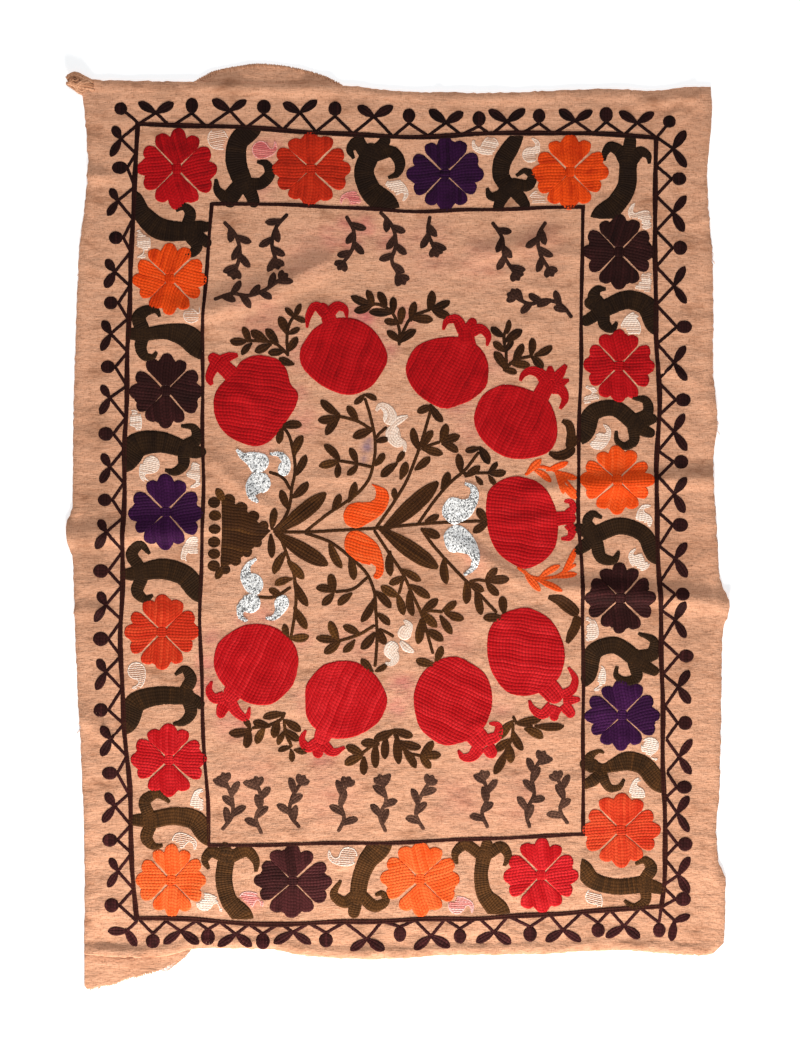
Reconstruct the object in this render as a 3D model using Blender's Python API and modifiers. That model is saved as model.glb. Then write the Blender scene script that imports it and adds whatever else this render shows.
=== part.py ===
"""A hand-embroidered cotton wall cloth, taken down and laid flat on a table.

The whole thing is one rectangle of slubby hand-woven cotton with its edges turned under as a hem. Years of
folding have left long soft ridges across it, one corner is twisted into a knot, the hem has come undone behind
the top edge, and the bottom left corner is torn. The embroidery is thread on this one cloth and no piece of
its own, so the model is a single solid: an open surface in the shape in which the cloth lies, thickened.

Units are metres, +Z is up and +Y points to the cloth's top edge. The origin is under the middle of the cloth.
"""

from collections import namedtuple

import bmesh
import bpy
import numpy as np

MM = 0.001

# Driving sizes of the cloth
CLOTH_THICK = 1.5 * MM
HEM_THICK = 2.3 * MM
HEM_WIDTH = 9 * MM
HEM_STEP = 2 * MM  # how far inwards the hem's edge takes to come down to the single cloth

# Fineness of the surface before it is thickened
COLUMNS = 46
ROWS = 92

COTTON_TAN = (0.62, 0.36, 0.19, 1.0)
COTTON_ROUGHNESS = 0.9

# The four edges as they lie, in millimetres from the cloth's middle. Each row is one bend of the edge.
Bend = namedtuple("Bend", "along out")

TOP_EDGE = (  # along is x, out is y
    Bend(-331.5, 448.5),  # tip of the twisted corner
    Bend(-325.0, 452.5),
    Bend(-312.0, 447.0),
    Bend(-207.0, 445.0),
    Bend(-182.0, 455.5),  # the undone hem stands out from here
    Bend(-139.5, 462.5),
    Bend(-92.0, 456.0),
    Bend(-57.5, 442.5),  # to here
    Bend(18.0, 434.5),
    Bend(98.0, 433.5),
    Bend(208.0, 437.5),
    Bend(252.0, 435.5),
    Bend(298.0, 440.0),
    Bend(312.5, 439.5),
)
BOTTOM_EDGE = (  # along is x, out is y
    Bend(-309.5, -462.5),  # tip of the torn corner
    Bend(-281.0, -458.5),
    Bend(-241.0, -445.5),
    Bend(-222.0, -436.0),
    Bend(-207.0, -424.5),  # the hem starts again here
    Bend(-190.0, -421.5),
    Bend(-125.0, -423.0),
    Bend(-92.0, -429.5),
    Bend(-22.0, -432.5),
    Bend(58.0, -428.5),
    Bend(138.0, -427.5),
    Bend(220.0, -423.5),
    Bend(298.0, -428.5),
    Bend(313.5, -427.5),
    Bend(326.5, -415.5),
)
LEFT_EDGE = (  # along is y, out is x
    Bend(-462.5, -309.5),
    Bend(-425.0, -314.5),
    Bend(-345.0, -312.5),
    Bend(-220.0, -316.5),
    Bend(-128.0, -321.5),
    Bend(-32.0, -324.5),
    Bend(-20.0, -329.0),  # the middle fold pushes the edge out
    Bend(4.0, -331.0),
    Bend(18.0, -325.0),
    Bend(124.0, -323.5),
    Bend(268.0, -318.5),
    Bend(364.0, -309.5),
    Bend(412.0, -312.5),
    Bend(429.0, -314.5),
    Bend(442.0, -329.0),  # the twisted corner
    Bend(448.5, -331.5),
)
RIGHT_EDGE = (  # along is y, out is x
    Bend(-415.5, 326.5),
    Bend(-352.0, 328.0),
    Bend(-332.0, 320.5),
    Bend(-308.0, 318.5),
    Bend(-260.0, 322.0),
    Bend(-106.0, 325.0),
    Bend(-80.0, 331.5),  # the long fold pushes the edge out
    Bend(-50.0, 322.0),
    Bend(-10.0, 319.5),
    Bend(60.0, 315.5),
    Bend(105.0, 319.5),
    Bend(160.0, 315.5),
    Bend(245.0, 315.5),
    Bend(352.0, 309.5),
    Bend(420.0, 314.5),
    Bend(439.5, 312.5),
)

# The ridges that the cloth still holds from being folded, in millimetres. Each runs from (x0, y0) to (x1, y1)
# and bows sideways by bow, to the left of that way. It rises to rise at its crest and comes down within left
# and right of it. It fades in over start and out over end, and a 0 there means it runs off the cloth's edge.
Ridge = namedtuple("Ridge", "x0 y0 x1 y1 bow rise left right start end")

RIDGES = (
    Ridge(-252, 206, -52, 270, -14, 6.0, 26, 15, 70, 40),  # across the top left pomegranates
    Ridge(57, 264, 178, 300, -4, 4.0, 18, 13, 40, 40),  # beside the top middle
    Ridge(-345, -12, -150, 2, -3, 5.5, 22, 14, 0, 90),  # left edge, middle
    Ridge(-340, -86, -270, -84, 0, 3.0, 12, 10, 0, 30),  # left edge, below the middle
    Ridge(92, 30, 345, 49, 3, 5.0, 14, 16, 70, 0),  # right edge, above the middle
    Ridge(90, 4, 168, 7, 0, 2.5, 11, 10, 30, 30),  # through the right pomegranate
    Ridge(124, -62, 350, -81, 4, 6.0, 16, 16, 40, 0),  # the long fold to the right edge
    Ridge(40, -2, 142, -67, -2, 4.0, 14, 14, 40, 30),  # and its way inwards
    Ridge(-180, 144, -124, 112, 0, 2.5, 12, 12, 25, 25),  # over the left pomegranate
    Ridge(-194, 80, -114, 10, -6, 3.5, 13, 12, 25, 30),  # above the vase
    Ridge(-178, 1, -24, 16, 0, 2.0, 16, 12, 40, 50),  # the middle fold dies out under the bush
    Ridge(-100, 49, -34, 50, 0, 2.5, 12, 10, 25, 25),
    Ridge(-340, -172, -274, -226, 0, 3.0, 11, 10, 0, 30),  # left edge, low down
    Ridge(178, -254, 228, -252, 0, 2.5, 14, 12, 20, 20),
    Ridge(306, 430, 214, 420, 0, 2.5, 8, 8, 8, 50),  # the pinched pleat in the top right corner
    Ridge(306, 428, 250, 398, 0, 2.0, 8, 8, 8, 40),
    Ridge(-345, 449, -300, 440, 0, 5.0, 9, 9, 0, 14),  # the twisted corner
    Ridge(-345, -424, -236, -431, 2, 3.0, 9, 9, 0, 40),  # over the torn corner
    Ridge(-198, 440, -54, 438, -3, 2.0, 8, 9, 20, 20),  # where the undone hem folds over
    Ridge(288, 132, 345, 112, 0, 3.0, 12, 12, 25, 0),
    Ridge(292, 262, 345, 260, 0, 2.5, 12, 12, 25, 0),
    Ridge(-40, -445, -8, -400, 0, 3.0, 14, 14, 0, 30),
    Ridge(-330, 352, -270, 346, 0, 2.5, 10, 10, 0, 30),
)


def smooth_line(bends, at):
    """The out values of a smooth line through the bends, at the given places along it."""
    along = np.array([bend.along for bend in bends]) * MM
    out = np.array([bend.out for bend in bends]) * MM
    steps = np.diff(along)
    slopes = np.diff(out) / steps
    # A bend that is a peak or a dent stays the outermost point, so the line never swings past the table
    same_way = slopes[:-1] * slopes[1:] > 0
    total = np.where(same_way, slopes[:-1] + slopes[1:], 1.0)
    inner = np.where(same_way, 2 * slopes[:-1] * slopes[1:] / total, 0.0)
    tangents = np.concatenate(([slopes[0]], inner, [slopes[-1]]))
    span = np.clip(np.searchsorted(along, at) - 1, 0, len(steps) - 1)
    step = steps[span]
    t = np.clip((at - along[span]) / step, 0, 1)
    return (
        (1 + 2 * t) * (1 - t) ** 2 * out[span]
        + t * (1 - t) ** 2 * step * tangents[span]
        + t**2 * (3 - 2 * t) * out[span + 1]
        + t**2 * (t - 1) * step * tangents[span + 1]
    )


def edge_points(bends, shares, sideways):
    """Points on an edge at shares of its length; sideways says that it runs along y."""
    start = bends[0].along * MM
    end = bends[-1].along * MM
    along = start + (end - start) * shares
    out = smooth_line(bends, along)
    return np.stack((out, along) if sideways else (along, out), axis=-1)


def grid_lines(count, length):
    """Shares of a length for the grid's lines: the edge, both sides of the hem's step, then even ones."""
    hem = HEM_WIDTH / length
    step = (HEM_WIDTH + HEM_STEP) / length
    inner = np.linspace(step, 1 - step, count - 3)
    return np.concatenate(([0, hem], inner, [1 - hem, 1]))


def surface_points(across, along):
    """The grid's points in plan: a patch blended between the four edges."""
    bottom = edge_points(BOTTOM_EDGE, across, False)
    top = edge_points(TOP_EDGE, across, False)
    left = edge_points(LEFT_EDGE, along, True)
    right = edge_points(RIGHT_EDGE, along, True)
    u = across[:, None, None]
    v = along[None, :, None]
    between_sides = (1 - u) * left[None] + u * right[None]
    between_ends = (1 - v) * bottom[:, None] + v * top[:, None]
    corners = (
        (1 - u) * (1 - v) * bottom[0]
        + u * (1 - v) * bottom[-1]
        + (1 - u) * v * top[0]
        + u * v * top[-1]
    )
    return between_sides + between_ends - corners


def fade(distance, length):
    """0 at the ridge's end, 1 once it is length away from it, with a soft turn between."""
    if length == 0:
        return np.where(distance >= 0, 1.0, 0.0)
    t = np.clip(distance / length, 0, 1)
    return t * t * (3 - 2 * t)


def ridge_height(ridge, x, y):
    """How far one ridge lifts the cloth at each point."""
    x0, y0, bow = ridge.x0 * MM, ridge.y0 * MM, ridge.bow * MM
    way = np.array((ridge.x1 - ridge.x0, ridge.y1 - ridge.y0)) * MM
    length = np.hypot(*way)
    way /= length
    forward = (x - x0) * way[0] + (y - y0) * way[1]
    t = np.clip(forward / length, 0, 1)
    sideways = (y - y0) * way[0] - (x - x0) * way[1] - 4 * bow * t * (1 - t)
    width = np.where(sideways > 0, ridge.left, ridge.right) * MM
    profile = 0.5 + 0.5 * np.cos(np.pi * np.clip(np.abs(sideways) / width, 0, 1))
    ends = fade(forward, ridge.start * MM) * fade(length - forward, ridge.end * MM)
    return ridge.rise * MM * profile * ends


def lift(x, y):
    """Height of the cloth's underside: 0 where it lies on the table, and the highest ridge elsewhere."""
    return np.max([ridge_height(ridge, x, y) for ridge in RIDGES], axis=0)


def make_cotton():
    material = bpy.data.materials.new("tan_cotton")
    material.use_nodes = True
    shader = material.node_tree.nodes["Principled BSDF"]
    shader.inputs["Base Color"].default_value = COTTON_TAN
    shader.inputs["Roughness"].default_value = COTTON_ROUGHNESS
    shader.inputs["Metallic"].default_value = 0.0
    return material


def make_ground_cloth():
    """The underside as an open grid in the cloth's lying shape, thickened upwards, more so at the hem."""
    length = (max(bend.out for bend in TOP_EDGE) - min(bend.out for bend in BOTTOM_EDGE)) * MM
    width = (max(bend.out for bend in RIGHT_EDGE) - min(bend.out for bend in LEFT_EDGE)) * MM
    across = grid_lines(COLUMNS, width)
    along = grid_lines(ROWS, length)
    plan = surface_points(across, along)
    height = lift(plan[..., 0], plan[..., 1])

    sheet = bmesh.new()
    bmesh.ops.create_grid(sheet, x_segments=COLUMNS, y_segments=ROWS, size=0.5)
    hem_points = []
    for vertex in sheet.verts:
        column = round((vertex.co.x + 0.5) * COLUMNS)
        row = round((vertex.co.y + 0.5) * ROWS)
        if min(column, COLUMNS - column, row, ROWS - row) <= 1:
            hem_points.append(vertex.index)
        x, y = plan[column, row]
        vertex.co = (x, y, height[column, row])
    mesh = bpy.data.meshes.new("ground_cloth")
    sheet.to_mesh(mesh)
    sheet.free()

    cloth = bpy.data.objects.new("ground_cloth", mesh)
    mesh.materials.append(make_cotton())
    hem = cloth.vertex_groups.new(name="hem")
    hem.add(hem_points, 1.0, "REPLACE")
    thicken = cloth.modifiers.new("cloth and hem", "SOLIDIFY")
    thicken.thickness = HEM_THICK
    thicken.offset = 1
    thicken.vertex_group = "hem"
    thicken.thickness_vertex_group = CLOTH_THICK / HEM_THICK
    mesh.shade_smooth()
    return cloth


def main():
    for existing in list(bpy.data.objects):
        bpy.data.objects.remove(existing)
    suzani = bpy.data.collections.new("embroidered_wall_cloth")
    bpy.context.scene.collection.children.link(suzani)
    suzani.objects.link(make_ground_cloth())


main()
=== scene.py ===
# %% [markdown]
# This is a suzani, a hand-embroidered wall cloth, taken down and laid flat on a table. The real thing is
# one sheet of slubby hand-woven cotton, about 66 by 92 centimetres, and dyed thread couched down on it row
# by row. Two ways could show the thread: painting it into the cotton's material, or laying real rows of it
# on the cloth. Painted thread looks right from one side only, so every row here is a small mesh that
# follows the folds.

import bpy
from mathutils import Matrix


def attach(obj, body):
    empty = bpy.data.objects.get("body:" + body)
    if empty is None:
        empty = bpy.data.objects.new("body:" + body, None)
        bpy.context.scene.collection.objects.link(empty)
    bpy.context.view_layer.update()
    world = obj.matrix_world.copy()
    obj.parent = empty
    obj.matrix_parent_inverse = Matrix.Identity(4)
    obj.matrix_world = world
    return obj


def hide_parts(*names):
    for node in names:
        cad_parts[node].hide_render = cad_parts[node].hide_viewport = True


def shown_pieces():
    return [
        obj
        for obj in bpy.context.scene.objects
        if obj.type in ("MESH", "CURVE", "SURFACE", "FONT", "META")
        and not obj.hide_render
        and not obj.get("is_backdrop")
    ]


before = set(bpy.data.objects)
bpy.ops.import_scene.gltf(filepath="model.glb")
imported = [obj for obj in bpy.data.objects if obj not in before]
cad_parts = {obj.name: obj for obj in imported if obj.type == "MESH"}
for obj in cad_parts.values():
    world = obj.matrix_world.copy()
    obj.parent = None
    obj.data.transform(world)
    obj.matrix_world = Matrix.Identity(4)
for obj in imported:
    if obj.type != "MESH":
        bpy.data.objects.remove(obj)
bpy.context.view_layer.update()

# %% The tools that the script uses
import math
from collections import namedtuple

import bpy
import numpy as np

MM = 0.001
rng = np.random.default_rng(1910)

# %% [markdown]
# An embroiderer works from a chart, so the pattern here is a chart too: millimetres on the cloth, with x to
# the right and y down, as one reads a page. Blender wants metres with y up, so one small function turns the
# chart into places on the cloth. All the tables below stay in plain millimetres.

# %% From the chart to the cloth
CHART_MIDDLE = np.array((397.5, 526.5))  # the chart's point over the middle of the cloth


def on_cloth(chart):
    """Places on the chart, in millimetres, as x and y on the cloth in metres."""
    away = (np.asarray(chart, dtype=float) - CHART_MIDDLE) * MM
    return away * (1, -1)


print("the chart's corner lies at", on_cloth((0, 0)))

# %% [markdown]
# The cotton itself comes first, because every thread lies on it. Cloth simulation could lay it down, but
# this sheet has lain folded for years and its creases have their own places. So its form is given here:
# the four edges are smooth lines through a few bends, and each crease is a soft ridge between two points.
# The edges and ridges are the ones that the solid model has, so the two stay together.

# %% The cloth's edges
CLOTH_THICK = 1.5 * MM
HEM_THICK = 2.3 * MM
HEM_WIDTH = 9 * MM
HEM_STEP = 2 * MM  # how far inwards the hem's edge takes to come down to the single cloth

# Each edge is a line of bends, in millimetres from the cloth's middle: the place along it, then how far out
TOP_EDGE = np.array((  # x, y; the first bends are the twisted corner
    (-331.5, 448.5), (-325, 452.5), (-312, 447), (-207, 444.5), (-182, 444), (-139.5, 443.5), (-92, 442.5),
    (-57.5, 441), (18, 434.5), (98, 433.5), (208, 437.5), (252, 435.5), (298, 440), (312.5, 439.5),
))
BOTTOM_EDGE = np.array((  # x, y; the torn corner lies under its start
    (-313, -427), (-281, -430), (-241, -430.5), (-222, -427), (-207, -422.5), (-190, -421.5), (-125, -423),
    (-92, -429.5), (-22, -432.5), (58, -428.5), (138, -427.5), (220, -423.5), (298, -428.5), (313.5, -427.5),
    (326.5, -415.5),
))
LEFT_EDGE = np.array((  # y, x; the middle fold pushes it out at -4, and the twist at its end
    (-427, -313), (-345, -312.5), (-220, -316.5), (-128, -321.5), (-32, -324.5), (-20, -329), (4, -331),
    (18, -325), (124, -323.5), (268, -318.5), (364, -309.5), (412, -312.5), (429, -314.5), (442, -329),
    (448.5, -331.5),
))
RIGHT_EDGE = np.array((  # y, x; the long fold pushes it out at -80
    (-415.5, 326.5), (-352, 328), (-332, 320.5), (-308, 318.5), (-260, 322), (-106, 325), (-80, 331.5),
    (-50, 322), (-10, 319.5), (60, 315.5), (105, 319.5), (160, 315.5), (245, 315.5), (352, 309.5),
    (420, 314.5), (439.5, 312.5),
))


def curve_between(t, span, here, leaving, there, arriving):
    """The smooth curve from here to there, at shares t of the span; leaving and arriving are its slopes."""
    return (
        (1 + 2 * t) * (1 - t) ** 2 * here
        + t * (1 - t) ** 2 * span * leaving
        + t**2 * (3 - 2 * t) * there
        + t**2 * (t - 1) * span * arriving
    )


def smooth_line(bends, at):
    """The out values of a smooth line through the bends, at the given places along it."""
    along, out = bends.T * MM
    steps = np.diff(along)
    slopes = np.diff(out) / steps
    # A bend that is a peak or a dent stays the outermost point, so the line never swings past the table
    same_way = slopes[:-1] * slopes[1:] > 0
    total = np.where(same_way, slopes[:-1] + slopes[1:], 1.0)
    inner = np.where(same_way, 2 * slopes[:-1] * slopes[1:] / total, 0.0)
    tangents = np.concatenate(([slopes[0]], inner, [slopes[-1]]))
    k = np.clip(np.searchsorted(along, at) - 1, 0, len(steps) - 1)
    t = np.clip((at - along[k]) / steps[k], 0, 1)
    return curve_between(t, steps[k], out[k], tangents[k], out[k + 1], tangents[k + 1])


def edge_points(bends, shares, sideways):
    """Points on an edge at shares of its length; sideways says that it runs along y."""
    start, end = bends[0, 0] * MM, bends[-1, 0] * MM
    along = start + (end - start) * shares
    out = smooth_line(bends, along)
    return np.stack((out, along) if sideways else (along, out), axis=-1)


print("bends in the four edges:", [len(e) for e in (TOP_EDGE, BOTTOM_EDGE, LEFT_EDGE, RIGHT_EDGE)])

# %% The ridges and finer creases
# Each ridge runs from (x0, y0) to (x1, y1), in millimetres from the cloth's middle, bows sideways by bow and
# comes down within left and right of its crest. It fades in over start and out over end; 0 is off the edge.
Ridge = namedtuple("Ridge", "x0 y0 x1 y1 bow rise left right start end")

RIDGES = [Ridge(*row) for row in (
    (-252, 206, -52, 270, -14, 6, 26, 15, 70, 40),  # across the top left pomegranates
    (57, 264, 178, 300, -4, 4, 18, 13, 40, 40),  # beside the top middle
    (-345, -12, -150, 2, -3, 5.5, 22, 14, 0, 90),  # left edge, middle
    (-340, -86, -270, -84, 0, 3, 12, 10, 0, 30),  # left edge, below the middle
    (92, 30, 345, 49, 3, 5, 14, 16, 70, 0),  # right edge, above the middle
    (90, 4, 168, 7, 0, 2.5, 11, 10, 30, 30),  # through the right pomegranate
    (124, -62, 350, -81, 4, 6, 16, 16, 40, 0),  # the long fold to the right edge
    (40, -2, 142, -67, -2, 4, 14, 14, 40, 30),  # and its way inwards
    (-180, 144, -124, 112, 0, 2.5, 12, 12, 25, 25),  # over the left pomegranate
    (-194, 80, -114, 10, -6, 3.5, 13, 12, 25, 30),  # above the vase
    (-178, 1, -24, 16, 0, 2, 16, 12, 40, 50),  # the middle fold dies out under the bush
    (-100, 49, -34, 50, 0, 2.5, 12, 10, 25, 25),
    (-340, -172, -274, -226, 0, 3, 11, 10, 0, 30),  # left edge, low down
    (178, -254, 228, -252, 0, 2.5, 14, 12, 20, 20),
    (306, 430, 214, 420, 0, 2.5, 8, 8, 8, 50),  # the pinched pleat in the top right corner
    (306, 428, 250, 398, 0, 2, 8, 8, 8, 40),
    (-345, 449, -300, 440, 0, 5, 9, 9, 0, 14),  # the twisted corner
    (-345, -424, -236, -431, 2, 3, 9, 9, 0, 40),  # over the torn corner
    (-198, 440, -54, 438, -3, 2, 8, 9, 20, 20),  # where the undone hem folds over
    (288, 132, 345, 112, 0, 3, 12, 12, 25, 0),
    (292, 262, 345, 260, 0, 2.5, 12, 12, 25, 0),
    (-40, -445, -8, -400, 0, 3, 14, 14, 0, 30),
    (-330, 352, -270, 346, 0, 2.5, 10, 10, 0, 30),
)]
CREASES = [Ridge(*row) for row in (  # sharper and lower than the ridges, and only in the shown cloth
    (302, 428, 222, 421, 2, 2.2, 5, 6, 5, 50), (302, 426, 262, 432, 0, 1.8, 4, 5, 5, 24),
    (302, 422, 268, 390, 0, 1.8, 4, 5, 5, 24), (298, 434, 270, 410, 2, 1.4, 4, 4, 5, 20),
    (290, 3, 330, 2, 0, 2, 4, 5, 10, 0), (-335, 14, -290, 16, 0, 1.8, 4, 5, 0, 20),
    (-314, -180, -282, -218, 3, 2, 5, 5, 5, 12), (-318, -427, -245, -431, 2, 1.8, 5, 6, 0, 20),
    (242, 166, 310, 139, 2, 1.8, 7, 5, 20, 0), (-205, 180, -196, 160, 4, 1.4, 5, 5, 8, 8),
    (-320, 351, -281, 349, 1, 2.6, 4, 6, 0, 14), (140, 58, 176, 66, 2, 1.6, 8, 8, 14, 14),
    (-56, 272, -118, 238, -3, 2, 8, 5, 20, 25), (-60, 236, 10, 206, 5, 1.4, 8, 8, 25, 25),
    (-150, -196, -88, -232, 4, 1.4, 8, 8, 25, 25), (60, -206, 128, -190, 4, 1.3, 8, 8, 25, 25),
    (150, 274, 196, 262, 3, 1.8, 9, 7, 20, 15), (112, 250, 168, 232, -3, 1.6, 9, 7, 20, 25),
    (300, 232, 330, 238, 0, 1.6, 5, 5, 14, 0), (284, 300, 322, 306, 2, 1.6, 6, 5, 14, 0),
    (-316, 262, -286, 250, 1, 1.6, 6, 5, 0, 14), (-322, 96, -292, 82, 1, 1.6, 6, 5, 0, 14),
    (-222, 436, -214, 410, 1, 1.3, 5, 5, 0, 12), (-196, 443, -152, 442, 0, 2.2, 4, 6, 8, 8),
    (-98, 442, -58, 440, 0, 2.4, 4, 6, 8, 8), (40, 436, 52, 404, -1, 1.3, 6, 5, 0, 14),
    (-250, -424, -236, -398, 1, 1.4, 6, 6, 0, 12),
)]


def fade(distance, length):
    """0 at the ridge's end, 1 once it is length away from it, with a soft turn between."""
    if length == 0:
        return np.where(distance >= 0, 1.0, 0.0)
    t = np.clip(distance / length, 0, 1)
    return t * t * (3 - 2 * t)


def ridge_height(ridge, x, y):
    """How far one ridge lifts the cloth at each point."""
    x0, y0, bow = ridge.x0 * MM, ridge.y0 * MM, ridge.bow * MM
    way = np.array((ridge.x1 - ridge.x0, ridge.y1 - ridge.y0)) * MM
    length = np.hypot(*way)
    way /= length
    forward = (x - x0) * way[0] + (y - y0) * way[1]
    t = np.clip(forward / length, 0, 1)
    sideways = (y - y0) * way[0] - (x - x0) * way[1] - 4 * bow * t * (1 - t)
    width = np.where(sideways > 0, ridge.left, ridge.right) * MM
    profile = 0.5 + 0.5 * np.cos(np.pi * np.clip(np.abs(sideways) / width, 0, 1))
    ends = fade(forward, ridge.start * MM) * fade(length - forward, ridge.end * MM)
    return ridge.rise * MM * profile * ends


print(len(RIDGES), "ridges and", len(CREASES), "finer creases")

# %% [markdown]
# Old cotton never lies dead flat between its creases. A few dozen long, low waves in different directions,
# added together, give it that uneven surface. One function then says how high the cloth's top is anywhere,
# and the cotton and every thread on it ask that same function, so the two can't come apart.

# %% How high the cloth lies
WAVES = 26
WAVE_SHORTEST = 22 * MM
WAVE_LONGEST = 95 * MM
WAVE_RISE = 0.16 * MM  # of one wave

wave_heading = rng.uniform(0, math.pi, WAVES)
wave_length = np.geomspace(WAVE_SHORTEST, WAVE_LONGEST, WAVES)
wave_start = rng.uniform(0, 2 * math.pi, WAVES)


def waves(x, y):
    """The low waves of the cloth, never below the table."""
    total = np.zeros(np.shape(x))
    for heading, length, start in zip(wave_heading, wave_length, wave_start):
        forward = x * math.cos(heading) + y * math.sin(heading)
        total += np.sin(forward * 2 * math.pi / length + start) * (length / WAVE_LONGEST) ** 0.5
    return WAVE_RISE * (total + 2.5 * np.logaddexp(0, -total / 2.5 - 1.5))


def cloth_under(x, y):
    """Height of the cloth's underside."""
    height = np.zeros(np.shape(x))
    for ridge in RIDGES:
        height = np.maximum(height, ridge_height(ridge, x, y))
    for crease in CREASES:
        height = height + ridge_height(crease, x, y)
    return np.maximum(height + waves(x, y) + 0.3 * MM, 0)


def inside_edge(x, y):
    """How far each place is from the nearest of the four edges, inwards."""
    return np.minimum.reduce((
        smooth_line(TOP_EDGE, x) - y,
        y - smooth_line(BOTTOM_EDGE, x),
        x - smooth_line(LEFT_EDGE, y),
        smooth_line(RIGHT_EDGE, y) - x,
    ))


def cloth_top(x, y):
    """Height of the cloth's upper face, on the hem too."""
    hem = 1 - fade(inside_edge(x, y) - HEM_WIDTH, HEM_STEP)
    return cloth_under(x, y) + CLOTH_THICK + (HEM_THICK - CLOTH_THICK) * hem


trial = rng.uniform(-0.3, 0.3, (2, 4000))
print("the cloth's top is between", cloth_top(*trial).min(), "and", cloth_top(*trial).max())

# %% [markdown]
# Every finish here is built from shader nodes. Adding a node, setting its sockets and linking it is the
# same few lines each time, so one helper does it. Colours are given as the eye reads them on a screen, from
# 0 to 255, and turned into the linear values that Blender's light works with.

# %% Helpers for finishes
def dye(red, green, blue):
    """A colour read from a screen, as the linear colour that a shader takes."""
    shares = np.array((red, green, blue)) / 255
    linear = np.where(shares <= 0.04045, shares / 12.92, ((shares + 0.055) / 1.055) ** 2.4)
    return (*linear.tolist(), 1.0)


def set_sockets(tree, node, sockets):
    """Values for a node's sockets: each a number, a colour, or another node's output to link."""
    for name, value in sockets.items():
        if isinstance(value, bpy.types.NodeSocket):
            tree.links.new(value, node.inputs[name])
        else:
            node.inputs[name].default_value = value


def add_node(tree, kind, sockets, output=0, **settings):
    """The output of a new shader node with its sockets and settings."""
    made = tree.nodes.new(kind)
    for name, value in settings.items():
        setattr(made, name, value)
    set_sockets(tree, made, sockets)
    return made.outputs[output]


def new_finish(name):
    """A material with only its shader, and that shader."""
    finish = bpy.data.materials.new(name)
    finish.use_nodes = True
    return finish, finish.node_tree, finish.node_tree.nodes["Principled BSDF"]


def noise(tree, vector, detail=2.0, rough=0.5):
    """Soft noise from 0 to 1 at the given places."""
    sockets = {"Vector": vector, "Scale": 1.0, "Detail": detail, "Roughness": rough}
    return add_node(tree, "ShaderNodeTexNoise", sockets, "Fac")


def grain(tree, scale, detail=2.0, rough=0.5):
    """Noise fixed to the cloth, whose grains are 1 / scale metres in each direction."""
    place = add_node(tree, "ShaderNodeTexCoord", {}, "Object")
    return noise(tree, add_node(tree, "ShaderNodeMapping", {"Vector": place, "Scale": scale}), detail, rough)


def ramp(tree, share, low, high):
    """0 where share is below low, 1 where it is above high, and soft between."""
    sockets = {"Value": share, "From Min": low, "From Max": high}
    return add_node(tree, "ShaderNodeMapRange", sockets, interpolation_type="SMOOTHSTEP")


def blended(tree, share, first, second):
    """One colour over the other, by share."""
    return add_node(tree, "ShaderNodeMix", {0: share, 6: first, 7: second}, 2, data_type="RGBA")


def maths(tree, operation, *values):
    """A sum on numbers and other nodes' outputs."""
    return add_node(tree, "ShaderNodeMath", dict(enumerate(values)), operation=operation)


def times(tree, value, factor):
    """A value times a factor."""
    return maths(tree, "MULTIPLY", value, factor)


def stored(tree, name):
    """A number that the mesh keeps for each of its corners."""
    return add_node(tree, "ShaderNodeAttribute", {}, "Fac", attribute_name=name)


def raised(tree, height, strength, distance, **coarser):
    """Relief from a height, on a coarser relief if one is given as Normal."""
    sockets = {"Height": height, "Strength": strength, "Distance": distance, **coarser}
    return add_node(tree, "ShaderNodeBump", sockets)


print("a mid tan in linear light:", dye(210, 160, 120))

# %% [markdown]
# The cotton is woven by hand from thread of uneven thickness. The thick places, called slubs, show as short
# streaks along the weft, which runs across this cloth. It has gone blotchy with age, and the red dye has
# run in places. Streaks and weave are noise stretched in two directions, which has no repeat that could
# shimmer from far away; the dye stains have real places, so a table gives them to the mesh as an attribute.

# %% The cotton's finish
COTTON_LIGHT = dye(232, 176, 142)
COTTON_MID = dye(208, 148, 114)
COTTON_DARK = dye(160, 106, 76)
COTTON_SOIL_AND_SHADE = dye(120, 82, 58)
DYE_PINK = dye(206, 92, 104)
STAIN_BLUE = dye(92, 84, 120)


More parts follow.
